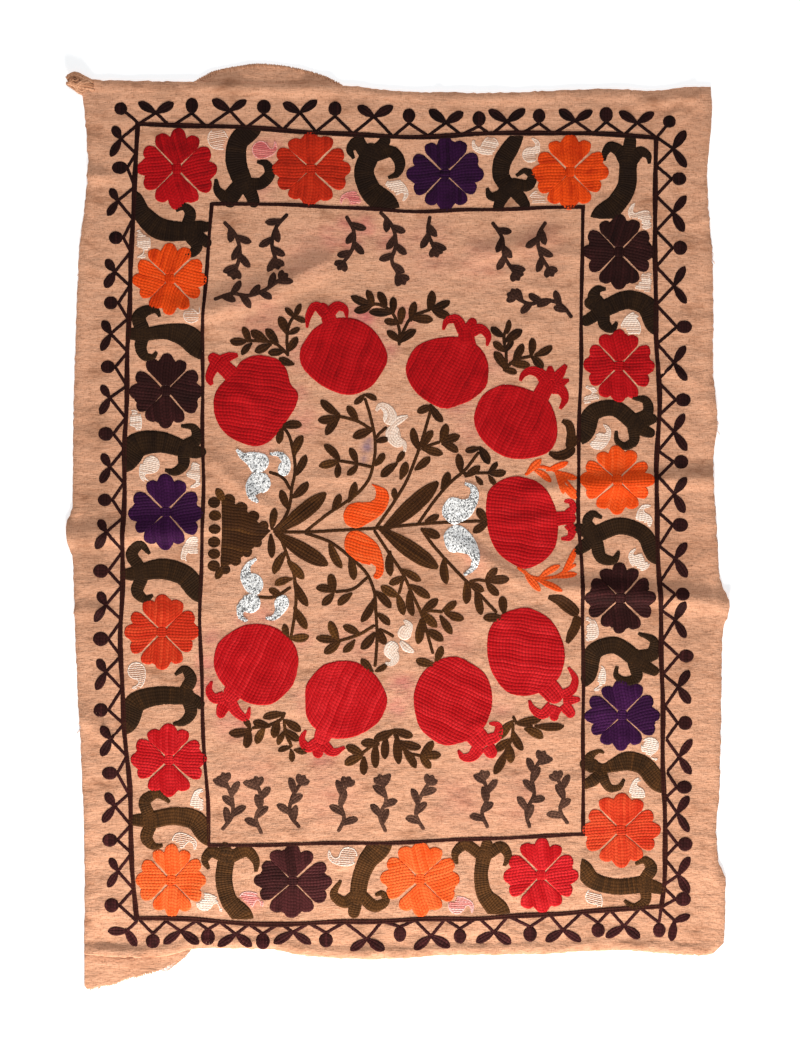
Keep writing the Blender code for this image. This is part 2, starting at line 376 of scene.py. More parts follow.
def make_cotton():
    """Slubby cotton: streaks and holes of the weave, then flecks and stains over them."""
    cotton, tree, shader = new_finish("slubby_tan_cotton")
    weft = grain(tree, (80, 900, 300), 5.0, 0.72)
    thread = maths(tree, "ADD", grain(tree, (220, 1100, 900), 1.0), grain(tree, (1100, 240, 900), 1.0))
    blotch = grain(tree, (22, 44, 20), 5.0, 0.65)
    speck = grain(tree, (260, 420, 300), 1.0)

    base = blended(tree, ramp(tree, weft, 0.25, 0.75), COTTON_MID, COTTON_LIGHT)
    for share, colour in (
        (ramp(tree, blotch, 0.5, 0.8), COTTON_DARK),
        (ramp(tree, grain(tree, (5, 8, 6)), 0.52, 1.1), COTTON_DARK),
        # Painted shade: the cotton beside each slub is darkened as the slub's shaded side
        (times(tree, ramp(tree, weft, 0.42, 0.24), 0.5), COTTON_DARK),  # beside the slubs
        (times(tree, ramp(tree, thread, 1.0, 0.7), 0.55), COTTON_DARK),  # the holes of the weave
        (times(tree, ramp(tree, speck, 0.7, 0.82), 0.5), COTTON_SOIL_AND_SHADE),
        (times(tree, stored(tree, "pink"), ramp(tree, blotch, 0.2, 0.7)), DYE_PINK),
        # Soil and painted shade: darker patches at the listed places, many on the shaded sides of folds
        (stored(tree, "soil_and_fold_shade"), COTTON_SOIL_AND_SHADE),
        (stored(tree, "blue"), STAIN_BLUE),
    ):
        base = blended(tree, share, base, colour)

    crumple = raised(tree, grain(tree, (26, 40, 30), 4.0, 0.55), 0.8, 7 * MM)
    relief = maths(tree, "MULTIPLY_ADD", weft, 1.6, thread)
    set_sockets(tree, shader, {
        "Base Color": base,
        "Normal": raised(tree, relief, 0.8, 0.4 * MM, Normal=crumple),
        "Roughness": 0.92,
        "Specular IOR Level": 0.1,
        "Sheen Weight": 0.05,
    })
    return cotton


cotton = make_cotton()
print("nodes in the cotton:", len(cotton.node_tree.nodes))

# %% Stains on the cotton
# Each stain is a soft round spot of colour: the pink and blue ones are dye, the darker ones soil and painted
# fold shade.
STAINS = {  # the middle and radius of each on the chart, and how strong it is
    "pink": (
        (360, 322, 16, 0.75), (376, 334, 14, 0.6), (340, 316, 12, 0.4), (388, 350, 10, 0.4),
        (300, 352, 18, 0.3), (262, 322, 24, 0.28), (250, 306, 20, 0.2), (405, 318, 14, 0.3),
        (352, 236, 16, 0.42), (366, 228, 12, 0.45), (330, 238, 14, 0.32), (344, 226, 9, 0.4),
        (390, 240, 16, 0.3), (498, 404, 16, 0.3), (496, 360, 18, 0.25), (470, 430, 16, 0.2),
        (305, 420, 16, 0.3), (300, 395, 10, 0.3), (404, 690, 16, 0.62), (398, 706, 12, 0.5),
        (206, 690, 14, 0.5), (208, 660, 12, 0.55), (212, 640, 12, 0.4), (250, 624, 16, 0.4),
        (262, 618, 14, 0.35), (306, 700, 14, 0.35), (300, 640, 12, 0.3), (500, 700, 16, 0.3),
        (478, 752, 16, 0.35), (322, 756, 14, 0.3), (232, 722, 18, 0.35), (570, 700, 12, 0.3),
        (498, 520, 10, 0.3), (476, 560, 14, 0.2), (222, 150, 8, 0.3), (265, 150, 12, 0.5),
        (356, 199, 10, 0.5), (276, 143, 9, 0.35), (264, 193, 12, 0.3), (252, 902, 10, 0.45),
        (430, 250, 30, 0.16), (305, 250, 26, 0.16), (480, 262, 26, 0.16), (540, 246, 24, 0.14),
        (352, 640, 30, 0.16), (450, 640, 30, 0.16), (330, 796, 30, 0.16), (460, 800, 30, 0.16),
        (250, 780, 26, 0.18), (520, 800, 26, 0.16), (260, 446, 12, 0.35), (460, 408, 14, 0.35),
    ),
    # darker patches of soil, and painted shade where they lie on the shaded sides of folds
    "soil_and_fold_shade": (
        (165, 90, 12, 0.3), (92, 500, 26, 0.3), (94, 430, 24, 0.3), (90, 620, 24, 0.26),
        (706, 470, 16, 0.24), (700, 640, 22, 0.18), (88, 560, 24, 0.34), (92, 700, 20, 0.18),
        (260, 330, 26, 0.2), (300, 300, 22, 0.22), (540, 250, 26, 0.16), (450, 96, 22, 0.16),
        (590, 92, 22, 0.18), (230, 92, 16, 0.24), (300, 506, 20, 0.22), (330, 528, 16, 0.2),
        (420, 600, 26, 0.1), (560, 560, 26, 0.16),
    ),
    "blue": (
        (367, 447, 5.5, 0.75), (364, 459, 4, 0.5), (369, 441, 4, 0.5),
    ),
}


def stained(stains, x, y):
    """How strongly the stains colour each place."""
    total = np.zeros(np.shape(x))
    for stain_x, stain_y, radius, strength in stains:
        middle_x, middle_y = on_cloth((stain_x, stain_y))
        away = np.hypot(x - middle_x, y - middle_y) / (radius * MM)
        total = np.maximum(total, strength * np.exp(-(away**2.6)))
    return total


print({colour: len(stains) for colour, stains in STAINS.items()}, "stains")

# %% [markdown]
# The sheet is a grid between the four edges, lifted to the cloth's underside, with a second face above it.
# Its rim is turned under as a hem, so the outer nine millimetres are thicker. Blender's Solidify could
# thicken the grid, but both faces are simple to place here, and then the whole closed sheet is one plain
# mesh.

# %% The sheet of cotton
SHEET_COLUMNS = 172
SHEET_ROWS = 240


def grid_lines(count, length):
    """Shares of a length for the grid's lines: the edge, both sides of the hem's step, then even ones."""
    hem = HEM_WIDTH / length
    step = (HEM_WIDTH + HEM_STEP) / length
    inner = np.linspace(step, 1 - step, count - 5)
    return np.concatenate(([0, hem * 0.12, hem], inner, [1 - hem, 1 - hem * 0.12, 1]))


def surface_points(across, along):
    """The grid's points in plan: a patch blended between the four edges."""
    bottom = edge_points(BOTTOM_EDGE, across, False)
    top = edge_points(TOP_EDGE, across, False)
    left = edge_points(LEFT_EDGE, along, True)
    right = edge_points(RIGHT_EDGE, along, True)
    u = across[:, None, None]
    v = along[None, :, None]
    between_sides = (1 - u) * left[None] + u * right[None]
    between_ends = (1 - v) * bottom[:, None] + v * top[:, None]
    at_start = (1 - u) * (1 - v) * bottom[0] + u * (1 - v) * bottom[-1]
    return between_sides + between_ends - (at_start + (1 - u) * v * top[0] + u * v * top[-1])


def edge_span(edge):
    """How far the edge's line runs, in metres."""
    return (edge[-1, 0] - edge[0, 0]) * MM


across = grid_lines(SHEET_COLUMNS, edge_span(TOP_EDGE))
along = grid_lines(SHEET_ROWS, edge_span(LEFT_EDGE))
sheet_plan = surface_points(across, along)
# The cut edge isn't ruled straight: it wanders by half a millimetre
RIM_WANDER = 0.35 * MM
rim = np.minimum.outer(np.minimum(across, 1 - across), np.minimum(along, 1 - along))
sheet_plan += rng.normal(0, RIM_WANDER, sheet_plan.shape) * (rim == 0)[..., None]
print("the grid has", sheet_plan.shape[0] * sheet_plan.shape[1], "points")

# %% Closing the sheet
PRESSED = 0.15 * MM  # how far the threads on the cotton press it down


def thickness_at(columns, rows):
    """The cloth's thickness on the grid: the hem is folded double, and its own edge is round."""
    thick = np.full((columns, rows), CLOTH_THICK - PRESSED)
    thick[:3] = thick[-3:] = thick[:, :3] = thick[:, -3:] = HEM_THICK
    thick[0] = thick[-1] = thick[:, 0] = thick[:, -1] = HEM_THICK * 0.6
    return thick


def closed_sheet(plan, under, thick):
    """Corners and faces of a grid with a lower face, an upper face and a rim between them."""
    columns, rows = under.shape
    lower = np.dstack((plan, under)).reshape(-1, 3)
    upper = np.dstack((plan, under + thick)).reshape(-1, 3)
    number = np.arange(columns * rows).reshape(columns, rows)
    quads = np.stack((number[:-1, :-1], number[1:, :-1], number[1:, 1:], number[:-1, 1:]), -1)
    quads = quads.reshape(-1, 4)
    border = np.concatenate((number[:, 0], number[-1, 1:], number[-2::-1, -1], number[0, -2::-1]))
    here, there = border[:-1], border[1:]
    rim_quads = np.stack((here, there, there + number.size, here + number.size), -1)
    faces = np.concatenate((quads[:, ::-1], quads + number.size, rim_quads))
    return np.concatenate((lower, upper)), faces


def mesh_piece(name, corners, faces, finish):
    """A smooth-shaded mesh object that rides on the cloth."""
    mesh = bpy.data.meshes.new(name)
    mesh.from_pydata(corners.tolist(), [], faces if isinstance(faces, list) else faces.tolist())
    mesh.shade_smooth()
    mesh.materials.append(finish)
    piece = bpy.data.objects.new(name, mesh)
    bpy.context.scene.collection.objects.link(piece)
    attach(piece, "root")
    return piece


def give_numbers(piece, name, numbers):
    """A number for each corner of a mesh, for its finish to read."""
    attribute = piece.data.attributes.new(name, "FLOAT", "POINT")
    attribute.data.foreach_set("value", np.asarray(numbers, dtype=np.float32))


under = cloth_under(sheet_plan[..., 0], sheet_plan[..., 1])
corners, faces = closed_sheet(sheet_plan, under, thickness_at(*under.shape))
ground = mesh_piece("cotton_sheet", corners, faces, cotton)
for colour, stains in STAINS.items():
    give_numbers(ground, colour, stained(stains, corners[:, 0], corners[:, 1]))
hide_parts("ground_cloth")
print("the cotton has", len(ground.data.polygons), "faces")

# %% [markdown]
# The photograph was taken from straight above, with the light coming from the cloth's lower end. A large
# soft lamp stands there, low enough that each fold shades its far side, and a pale sky fills the shadows.
# The camera looks straight down from where one millimetre of cloth is one step of the picture.

# %% Camera, light and floor
LENS = 100.0  # millimetres
SENSOR = 36.0
PICTURE_LONG_SIDE = 1057 * MM  # of the table, seen along the picture's long side

camera = bpy.data.objects.new("camera", bpy.data.cameras.new("camera"))
camera.data.lens = LENS
camera.data.sensor_width = SENSOR
camera.location = (2.5 * MM, -2.0 * MM, PICTURE_LONG_SIDE * LENS / SENSOR)
bpy.context.scene.collection.objects.link(camera)
bpy.context.scene.camera = camera


def add_lamp(name, place, aim, size, power, colour=(1, 1, 1)):
    """A square area lamp at a place, turned towards a point."""
    lamp = bpy.data.objects.new(name, bpy.data.lights.new(name, "AREA"))
    lamp.data.size = size
    lamp.data.energy = power
    lamp.data.color = colour
    lamp.location = place
    way = np.subtract(aim, place)
    flat = math.hypot(way[0], way[1])
    lamp.rotation_euler = (math.atan2(flat, -way[2]), 0, math.atan2(-way[0], way[1]) if flat else 0)
    bpy.context.scene.collection.objects.link(lamp)


add_lamp("low_window", (0.0, -1.85, 0.72), (0, -0.1, 0), 0.5, 58, (1.0, 0.97, 0.93))
add_lamp("soft_ceiling", (0.1, 1.0, 1.8), (0, 0.25, 0), 1.6, 16)

world = bpy.data.worlds.new("pale_room")
world.use_nodes = True
sky = {"Color": (0.9, 0.95, 1.0, 1.0), "Strength": 0.28}
set_sockets(world.node_tree, world.node_tree.nodes["Background"], sky)
bpy.context.scene.world = world
bpy.context.scene.view_settings.view_transform = "Standard"

FLOOR_HALF = 3.0
FLOOR_DEPTH = 20 * MM
ends = (-FLOOR_HALF, FLOOR_HALF)
floor_corners = [(x, y, z) for z in (-FLOOR_DEPTH, -0.2 * MM) for y in ends for x in ends]
floor_faces = ((0, 2, 3, 1), (4, 5, 7, 6), (0, 1, 5, 4), (1, 3, 7, 5), (3, 2, 6, 7), (2, 0, 4, 6))
floor_mesh = bpy.data.meshes.new("floor")
floor_mesh.from_pydata(floor_corners, [], floor_faces)
floor = bpy.data.objects.new("floor", floor_mesh)
white, white_tree, white_shader = new_finish("white_paper")
paper = blended(white_tree, grain(white_tree, (60, 60, 60)), (0.93, 0.93, 0.93, 1), (0.97, 0.97, 0.97, 1))
set_sockets(white_tree, white_shader, {
    "Base Color": paper, "Roughness": 0.9, "Emission Color": (1, 1, 1, 1), "Emission Strength": 0.36,
})
floor_mesh.materials.append(white)
bpy.context.scene.collection.objects.link(floor)
floor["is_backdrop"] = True
print("the camera is", round(camera.location.z, 3), "m above the cloth")

# %% [markdown]
# All the motifs are couched: the needle lays a thread on the cotton and ties it down with short slanting
# stitches, then lays the next one close beside it. So the one thing that everything is made of is a laid
# row. A row is a flat rope, half round above and closed below, with a small dip at every tie. Curves with a
# bevel would be round tubes; a strip of five points across keeps the rows low, and it is light enough for
# metres of it.

# %% A laid row of thread
STITCH = 1.65  # millimetres from one section of a row to the next
TIE_DIP = 0.72  # height of a row where a tie holds it down, as a share
TIE_SLANT = 0.3  # how far a tie leans along the row, as a share of the row's width
ROW_SIDES = np.array((-0.5, -0.34, 0.0, 0.34, 0.5))  # the five lines across, as shares of the width
ROW_RISES = np.array((0.0, 0.74, 1.0, 0.74, 0.0))
ROW_SUNK = 0.35  # millimetres that a row's underside lies in the cotton's fuzz
ROW_HEIGHT = 0.48  # millimetres; a row's own height is a share of it
ROW_PITCH = 3.0  # millimetres from one row to the next
RUNG_PITCH = 2.3  # and where the rows cross a stroke
PAINTED_LIGHT = 0.38  # how much lighter the thread is painted at the cloth's lower end, nearer the lamp, than in its middle
PAINTED_LIGHT_RUN = 400  # millimetres from the cloth's middle to its lower end, about
ROW_OVERLAP = 1.3  # a row's width in pitches, so that no cotton shows between two rows

Row = namedtuple("Row", "lines height tone")  # lines holds five points for each section


def lengths_along(path):
    """How far each point of a path is along it."""
    return np.concatenate(([0], np.cumsum(np.hypot(*np.diff(path, axis=0).T))))


def smooth_path(points, closed=False, step=STITCH):
    """A soft curve through a few points, which may carry a width as a third number."""
    points = np.asarray(points, dtype=float)
    if len(points) < 3 and not closed:
        count = max(3, int(np.hypot(*(points[1] - points[0])[:2]) / step) + 1)
        return points[0] + np.linspace(0, 1, count)[:, None] * (points[1] - points[0])
    before = np.roll(points, 1, axis=0)
    after = np.roll(points, -1, axis=0)
    if not closed:
        before[0] = 2 * points[0] - points[1]
        after[-1] = 2 * points[-1] - points[-2]
    # Each point's direction leans on its nearer neighbour, so short steps beside long ones make no loops
    back = np.maximum(np.hypot(*(points - before)[:, :2].T), 1e-6)[:, None]
    ahead = np.maximum(np.hypot(*(after - points)[:, :2].T), 1e-6)[:, None]
    slope = ((points - before) / back * ahead + (after - points) / ahead * back) / (back + ahead)
    curve = []
    for k in range(len(points) if closed else len(points) - 1):
        on = (k + 1) % len(points)
        t = np.arange(0, 1, min(0.5, step / ahead[k, 0]))[:, None]
        curve.append(curve_between(t, ahead[k, 0], points[k], slope[k], points[on], slope[on]))
    if not closed:
        curve.append(points[-1:])
    return np.concatenate(curve)


def near(tone, most):
    """A row's tone near a motif's tone, or none where each row has its own."""
    return None if tone is None else tone + rng.uniform(-most, most)


def as_row(lines, height, tone):
    """A row of five lines, with the small unevenness of handwork."""
    sway = rng.normal(0, 0.09, (len(lines), 1, 2))
    return Row(lines + sway, height * rng.uniform(0.93, 1.07), rng.uniform(0, 1) if tone is None else tone)


def sections(length):
    """How many sections a row of a length takes."""
    return max(3, int(round(length / STITCH)) + 1)


print("a row of 30 mm has", sections(30), "sections of", len(ROW_SIDES), "points")

# %% Turning rows into a mesh
def stitch_down(name, rows, finish, lies_on=cloth_top):
    """One mesh piece of many rows, each lying on the cloth or on another surface."""
    sizes = np.array([len(row.lines) for row in rows])
    lines = np.concatenate([row.lines for row in rows])
    points = len(ROW_SIDES)
    middle = lines[:, points // 2]
    ways = np.concatenate([np.gradient(row.lines[:, points // 2], axis=0) for row in rows])
    ways /= np.maximum(np.hypot(*ways.T), 1e-9)[:, None]
    runs = np.concatenate([lengths_along(row.lines[:, points // 2]) for row in rows])
    heights = np.repeat([row.height for row in rows], sizes)
    # Painted light: each row's tone grows lighter towards the cloth's lower end, where the lamp stands
    tones = np.repeat([row.tone for row in rows], sizes) + PAINTED_LIGHT * (middle[:, 1] - CHART_MIDDLE[1]) / PAINTED_LIGHT_RUN
    first = np.cumsum(sizes) - sizes
    step = np.arange(len(middle)) - np.repeat(first, sizes)
    phase = np.repeat(rng.integers(0, 2, len(rows)), sizes)
    at_end = (step == 0) | (step == np.repeat(sizes - 1, sizes))
    heights = heights * np.where(at_end, 0.4, np.where((step + phase) % 2, TIE_DIP, 1.0))

    widths = np.hypot(*(lines[:, -1] - lines[:, 0]).T)
    lean = np.where(at_end, 0.0, TIE_SLANT) * widths
    chart = lines + ROW_SIDES[None, :, None] * lean[:, None, None] * ways[:, None]
    places = on_cloth(chart)
    rise = ROW_RISES * heights[:, None] * ROW_HEIGHT - np.where(ROW_RISES == 0, ROW_SUNK, 0.0)
    corners = np.dstack((places, lies_on(places[..., 0], places[..., 1]) + rise * MM)).reshape(-1, 3)

    goes_on = np.ones(len(middle), dtype=bool)
    goes_on[first + sizes - 1] = False
    section = np.flatnonzero(goes_on)[:, None] * points
    here = section + np.arange(points)
    on = section + np.roll(np.arange(points), -1)
    quads = np.stack((here, on, on + points, here + points), axis=-1).reshape(-1, 4)
    starts = first[:, None] * points + np.arange(points)
    ends = (first + sizes - 1)[:, None] * points + np.arange(points)
    faces = quads.tolist() + starts[:, ::-1].tolist() + ends.tolist()
    piece = mesh_piece(name, corners, faces, finish)
    give_numbers(piece, "tone", np.repeat(tones, points))
    give_numbers(piece, "run", np.repeat(runs, points))
    give_numbers(piece, "side", np.tile(ROW_SIDES * 2, len(middle)))
    metres = float(runs[first + sizes - 1].sum()) * MM
    print(name, len(rows), "rows,", round(metres, 2), "m of thread,", len(quads), "faces")


# %% [markdown]
# The dyed thread is loosely twisted silk: it has a soft sheen, and light and dark hairs run along it. The
# mesh tells the finish how far a point is along its row and how far to its side, so fine lines can run with
# each row and slanting tie stitches can cross it, whatever way the row turns. Each row also has its own
# tone, since no two lengths of hand-dyed thread took up quite the same colour.

# %% The thread's finish
def make_thread(name, *tones):
    """Dyed thread whose tone differs from row to row and along each row."""
    thread, tree, shader = new_finish(name)
    dark, mid, light = (dye(*tone) for tone in tones)
    tone, run, side = (stored(tree, number) for number in ("tone", "run", "side"))
    place = {0: times(tree, run, 0.35), 1: times(tree, side, 5.0), 2: times(tree, tone, 37.0)}
    hairs = noise(tree, add_node(tree, "ShaderNodeCombineXYZ", place), rough=0.6)
    spread = maths(tree, "MULTIPLY_ADD", tone, 0.7, hairs)
    spread = maths(tree, "MULTIPLY_ADD", grain(tree, (60, 60, 60), 3.0), 0.6, spread)
    colour = blended(tree, ramp(tree, spread, 0.6, 1.1), dark, mid)
    colour = blended(tree, ramp(tree, spread, 1.1, 1.7), colour, light)
    # Painted shade: the valleys between rows are darkened, as they lie in each other's shade and hold dust
    edge = maths(tree, "ABSOLUTE", side)
    colour = blended(tree, times(tree, ramp(tree, edge, 0.62, 1.0), 0.38), colour, dark)
    # Ties cross the row every three millimetres and lean over to one side
    leaning = maths(tree, "MULTIPLY_ADD", side, 0.8, run)
    tie = maths(tree, "SINE", times(tree, leaning, math.pi / STITCH))
    colour = blended(tree, times(tree, ramp(tree, tie, 0.0, -0.9), 0.42), colour, dark)
    relief = maths(tree, "MULTIPLY_ADD", tie, 0.3, hairs)
    set_sockets(tree, shader, {
        "Base Color": colour,
        "Normal": raised(tree, relief, 0.6, 0.3 * MM),
        "Roughness": 0.7,
        "Specular IOR Level": 0.08,
    })
    return thread


DYES = {  # the darkest, the middle and the lightest tone of each thread, as on a screen
    "red": ((118, 5, 9), (184, 14, 20), (228, 44, 48)),
    "orange": ((176, 40, 4), (238, 78, 18), (255, 118, 58)),
    "rust": ((140, 26, 8), (200, 46, 20), (236, 84, 46)),
    "plum": ((22, 8, 6), (46, 19, 17), (84, 38, 38)),
    "violet": ((24, 5, 22), (50, 14, 52), (76, 28, 78)),
    "black_green": ((30, 17, 9), (52, 33, 17), (100, 62, 30)),
    "olive": ((33, 17, 8), (69, 39, 17), (114, 71, 30)),
    "dark_plum_line": ((28, 9, 6), (54, 22, 16), (86, 42, 32)),
    "cream": ((206, 164, 138), (246, 220, 200), (250, 234, 220)),
    "pink": ((200, 96, 96), (236, 146, 136), (250, 206, 196)),
    "cotton": ((178, 124, 92), (218, 162, 126), (238, 186, 152)),
    "brown": ((30, 16, 12), (66, 40, 30), (122, 84, 66)),
}
thread = {name: make_thread(name + "_thread", *tones) for name, tones in DYES.items()}
print(len(bpy.data.materials), "finishes so far")

# %% [markdown]
# Three ways of laying rows fill every motif. A band follows a stroke, such as a stem's curl, with rows side
# by side along it. A leaf is a short band that swells and comes to a point. A filled shape has straight
# rows across it, cut off at its outline. Working out the cuts is simple: the outline is turned until the
# rows lie flat, and each row runs between the places where the outline crosses it.

# %% Bands and leaves
def path_at(at, run, path):
    """A path's places at lengths along it; run holds the lengths of its own points."""
    return np.stack((np.interp(at, run, path[:, 0]), np.interp(at, run, path[:, 1])), axis=-1)


def beside(path, away):
    """A path beside another one, at a distance for each of its points."""
    way = np.gradient(path, axis=0)
    way /= np.maximum(np.hypot(*way.T), 1e-9)[:, None]
    return path + np.stack((-way[:, 1], way[:, 0]), axis=-1) * np.asarray(away)[:, None]


def band(points, round_start=False, round_end=True, pitch=ROW_PITCH, height=0.8, tone=None, count=None):
    """Rows side by side along a stroke; its points carry the stroke's width."""
    path = smooth_path(points)
    middle, widths = path[:, :2], path[:, 2]
    run = lengths_along(middle)
    count = count or max(1, int(round(widths.max() / pitch)))
    overlap = ROW_OVERLAP if count > 1 else 1.0
    rows = []
    for k in range(count):
        lines = []
        for share in np.clip((2 * k + 1) / count - 1 + ROW_SIDES * 2 * overlap / count, -1, 1):
            # A round end is a half circle, so the outer lines stop short of the middle one
            short = 1 - math.sqrt(1 - share**2)
            first = short * widths[0] / 2 if round_start else 0
            last = run[-1] - (short * widths[-1] / 2 if round_end else 0)
            line = beside(middle, share * widths / 2)
            at = np.linspace(min(first, run[-1] * 0.45), max(last, run[-1] * 0.55), sections(run[-1]))
            lines.append(path_at(at, run, line))
        rows.append(as_row(np.stack(lines, axis=1), height, near(tone, 0.15)))
    return rows


def rounded(path, round_start, round_end):
    """A path with widths, lengthened by a half circle at its round ends."""
    turn = np.linspace(0.1, 0.97, 6)[:, None] * math.pi / 2
    caps = []
    for end, inner in ((0, 2), (-1, -3)):
        way = path[end, :2] - path[inner, :2]
        half = path[end, 2] / 2
        places = path[end, :2] + way / np.hypot(*way) * half * np.sin(turn)
        caps.append(np.hstack((places, 2 * half * np.cos(turn))))
    before = caps[0][::-1] if round_start else path[:0]
    after = caps[1] if round_end else path[:0]
    return np.concatenate((before, path, after))


def rungs(points, round_start=False, round_end=True, height=0.8, tone=None, foot=None):
    """Short rows across a stroke, like the rungs of a ladder; points and ends are as in a band.

    A foot is (axis, place): the stroke is cut off along that straight line of the chart.
    """
    path = rounded(smooth_path(points), round_start, round_end)
    run = lengths_along(path[:, :2])
    sides = [beside(path[:, :2], hand * path[:, 2] / 2) for hand in (-1, 1)]
    count = max(1, int(round(run[-1] / RUNG_PITCH)))
    rows = []
    for k in range(count):
        at = np.clip((k + 0.5 + ROW_SIDES * ROW_OVERLAP) * run[-1] / count, 0, run[-1])
        start, end = (path_at(at, run, side) for side in sides)
        if foot:
            # What lies on the far side of the foot's line is cut off
            axis, place = foot
            inside = 1 if path[-1, axis] > place else -1
            reach = [(point[:, axis] - place) * inside for point in (start, end)]
            if max(reach[0][2], reach[1][2]) <= 0.5:
                continue
            share = np.clip(reach[0] / np.where(reach[0] == reach[1], 1, reach[0] - reach[1]), 0, 1)[:, None]
            cut = start + (end - start) * share
            start = np.where(reach[0][:, None] < 0, cut, start)
            end = np.where(reach[1][:, None] < 0, cut, end)
        shares = np.linspace(0, 1, sections(np.hypot(*(end - start)[2])))[:, None, None]
        rows.append(as_row(start + (end - start) * shares, height, near(tone, 0.15)))
    return rows


def laid(points, width, height=0.75, tone=None):
    """A single row along a smooth path, with round ends."""
    return band([(*point[:2], width) for point in points], True, True, height=height, tone=tone, count=1)


LEAF_SHAPE = (  # share of the leaf's length, share of its width
    (-0.1, 0.25), (0.12, 0.62), (0.34, 0.93), (0.58, 1.0), (0.8, 0.84), (0.93, 0.5), (1.0, 0.18),
)


def leaf(base, tip, width, tone=None, bend=0.0):
    """A pointed leaf from its base to its tip, swelling to its width and bending a little to one side."""
    base, tip = np.array(base, dtype=float), np.array(tip, dtype=float)
    way = tip - base
    aside = np.array((-way[1], way[0])) * bend
    points = []
    for share, swell in LEAF_SHAPE:
        place = base + way * share + aside * 4 * share * (1 - share)
        points.append((*place, width * swell))
    return band(points, round_end=False, tone=tone)


print("a leaf of 20 mm is", len(leaf((0, 0), (20, 0), 8)), "rows")

# %% Filled shapes
END_SKEW = 2.2  # how far a row's side may run past its middle, in pitches
OVAL_STEP = 1.2  # millimetres between the points of an oval


def crossings(flat, following, level):
    """Where a level line crosses a closed outline, in order."""
    crosses = (flat[:, 1] - level) * (following[:, 1] - level) < 0
    here, there = flat[crosses], following[crosses]
    share = (level - here[:, 1]) / (there[:, 1] - here[:, 1])
    return np.sort(here[:, 0] + share * (there[:, 0] - here[:, 0]))


def filled(outline, angle, pitch=ROW_PITCH, height=0.8, tone=None, wave=0.0):
    """Straight rows across a closed outline, turned by an angle; wave makes them curve a little."""
    turn = math.radians(angle)
    along_way = np.array((math.cos(turn), math.sin(turn)))
    across_way = np.array((-math.sin(turn), math.cos(turn)))
    flat = np.stack((outline @ along_way, outline @ across_way), axis=-1)
    following = np.roll(flat, -1, axis=0)
    low, high = flat[:, 1].min(), flat[:, 1].max()
    count = max(1, int(round((high - low) / pitch)))
    pitch = (high - low) / count
    rows = []
    for k in range(count):
        level = low + (k + 0.5) * pitch
        side_levels = np.clip(level + ROW_SIDES * pitch * ROW_OVERLAP, low + 0.15, high - 0.15)
        side_cuts = [crossings(flat, following, side_level) for side_level in side_levels]
        cuts = side_cuts[len(ROW_SIDES) // 2]
        for start, end in zip(cuts[0::2], cuts[1::2]):
            if end - start < 1.0:
                continue
            lines = []
            for side_level, others in zip(side_levels, side_cuts):
                # Each side of a row is cut where the outline crosses it, so the motif's edge is smooth
                own = []
                for cut, which in ((start, others[0::2]), (end, others[1::2])):
                    nearest = which[np.argmin(np.abs(which - cut))] if len(others) else cut
                    own.append(np.clip(nearest, cut - END_SKEW * pitch, cut + END_SKEW * pitch))
                if own[1] < own[0]:
                    own = [(own[0] + own[1]) / 2] * 2
                at = np.linspace(*own, sections(end - start))
                bow = wave * np.sin(at / 6.5 + side_level / 19) * np.sin(at / 17 + 1)
                lines.append(at[:, None] * along_way + (side_level + bow)[:, None] * across_way)
            rows.append(as_row(np.stack(lines, axis=1), height, near(tone, 0.2)))
    return rows


def oval(x, y, across, down):
    """A closed oval outline about a middle."""
    turn = np.arange(0, 2 * math.pi, OVAL_STEP / max(across, down) * 2)
    return np.stack((x + across / 2 * np.cos(turn), y + down / 2 * np.sin(turn)), axis=-1)


def berry(x, y, across, down=None, angle=90, tone=None):
    """A small round berry of a few rows."""
    return filled(oval(x, y, across, down or across), angle, 2.9, 0.85, tone)


print("a berry of 13 mm is", len(berry(0, 0, 13)), "rows")

# %% [markdown]
# Two dark lines frame the border, and the outer one carries an edging: a zigzag whose peaks end by turns in
# a berry and in a pair of leaves. The lines were drawn by hand on the cotton before they were sewn, so they
# wander, and the tables keep that. One function makes the edging along each of the four sides from where
# the feet of its zigzag stand on the line.

# %% The two lines
OUTER_LINE = (  # the top, the right, the bottom and the left side
    ((137, 124), (190, 126), (250, 128), (320, 133), (400, 137), (490, 134), (600, 134), (657, 138)),
    ((656, 137), (655, 190), (655, 240), (656, 330), (659, 400), (658, 440), (656, 482), (658, 550),
     (660, 605), (662, 680), (663, 770), (665, 850), (664, 885), (661, 908)),
    ((663, 906), (579, 912), (502, 917), (400, 920), (310, 923), (250, 924), (194, 919), (136, 918)),
    ((137, 920), (135, 900), (133, 880), (130, 790), (124, 720), (121, 650), (123, 560), (124, 500),
     (128, 350), (134, 200), (138, 123)),
)
INNER_LINE = (
    ((211, 204), (245, 204), (281, 205), (332, 207), (400, 211), (480, 210), (540, 208), (585, 207)),
    ((583, 206), (582, 255), (581, 344), (580, 400), (578, 500), (581, 560), (583, 630), (583, 700),
     (583, 770), (583, 836)),
    ((584, 834), (540, 836), (502, 838), (400, 842), (300, 844), (250, 845), (208, 845)),
    ((209, 846), (208, 800), (205, 765), (203, 720), (201, 650), (200, 600), (203, 530), (203, 450),
     (204, 306), (208, 255), (212, 203)),
)
OUTER_WIDTH = 5.0
INNER_WIDTH = 3.9
LINE_SWAY = 0.6  # millimetres that the hand strayed

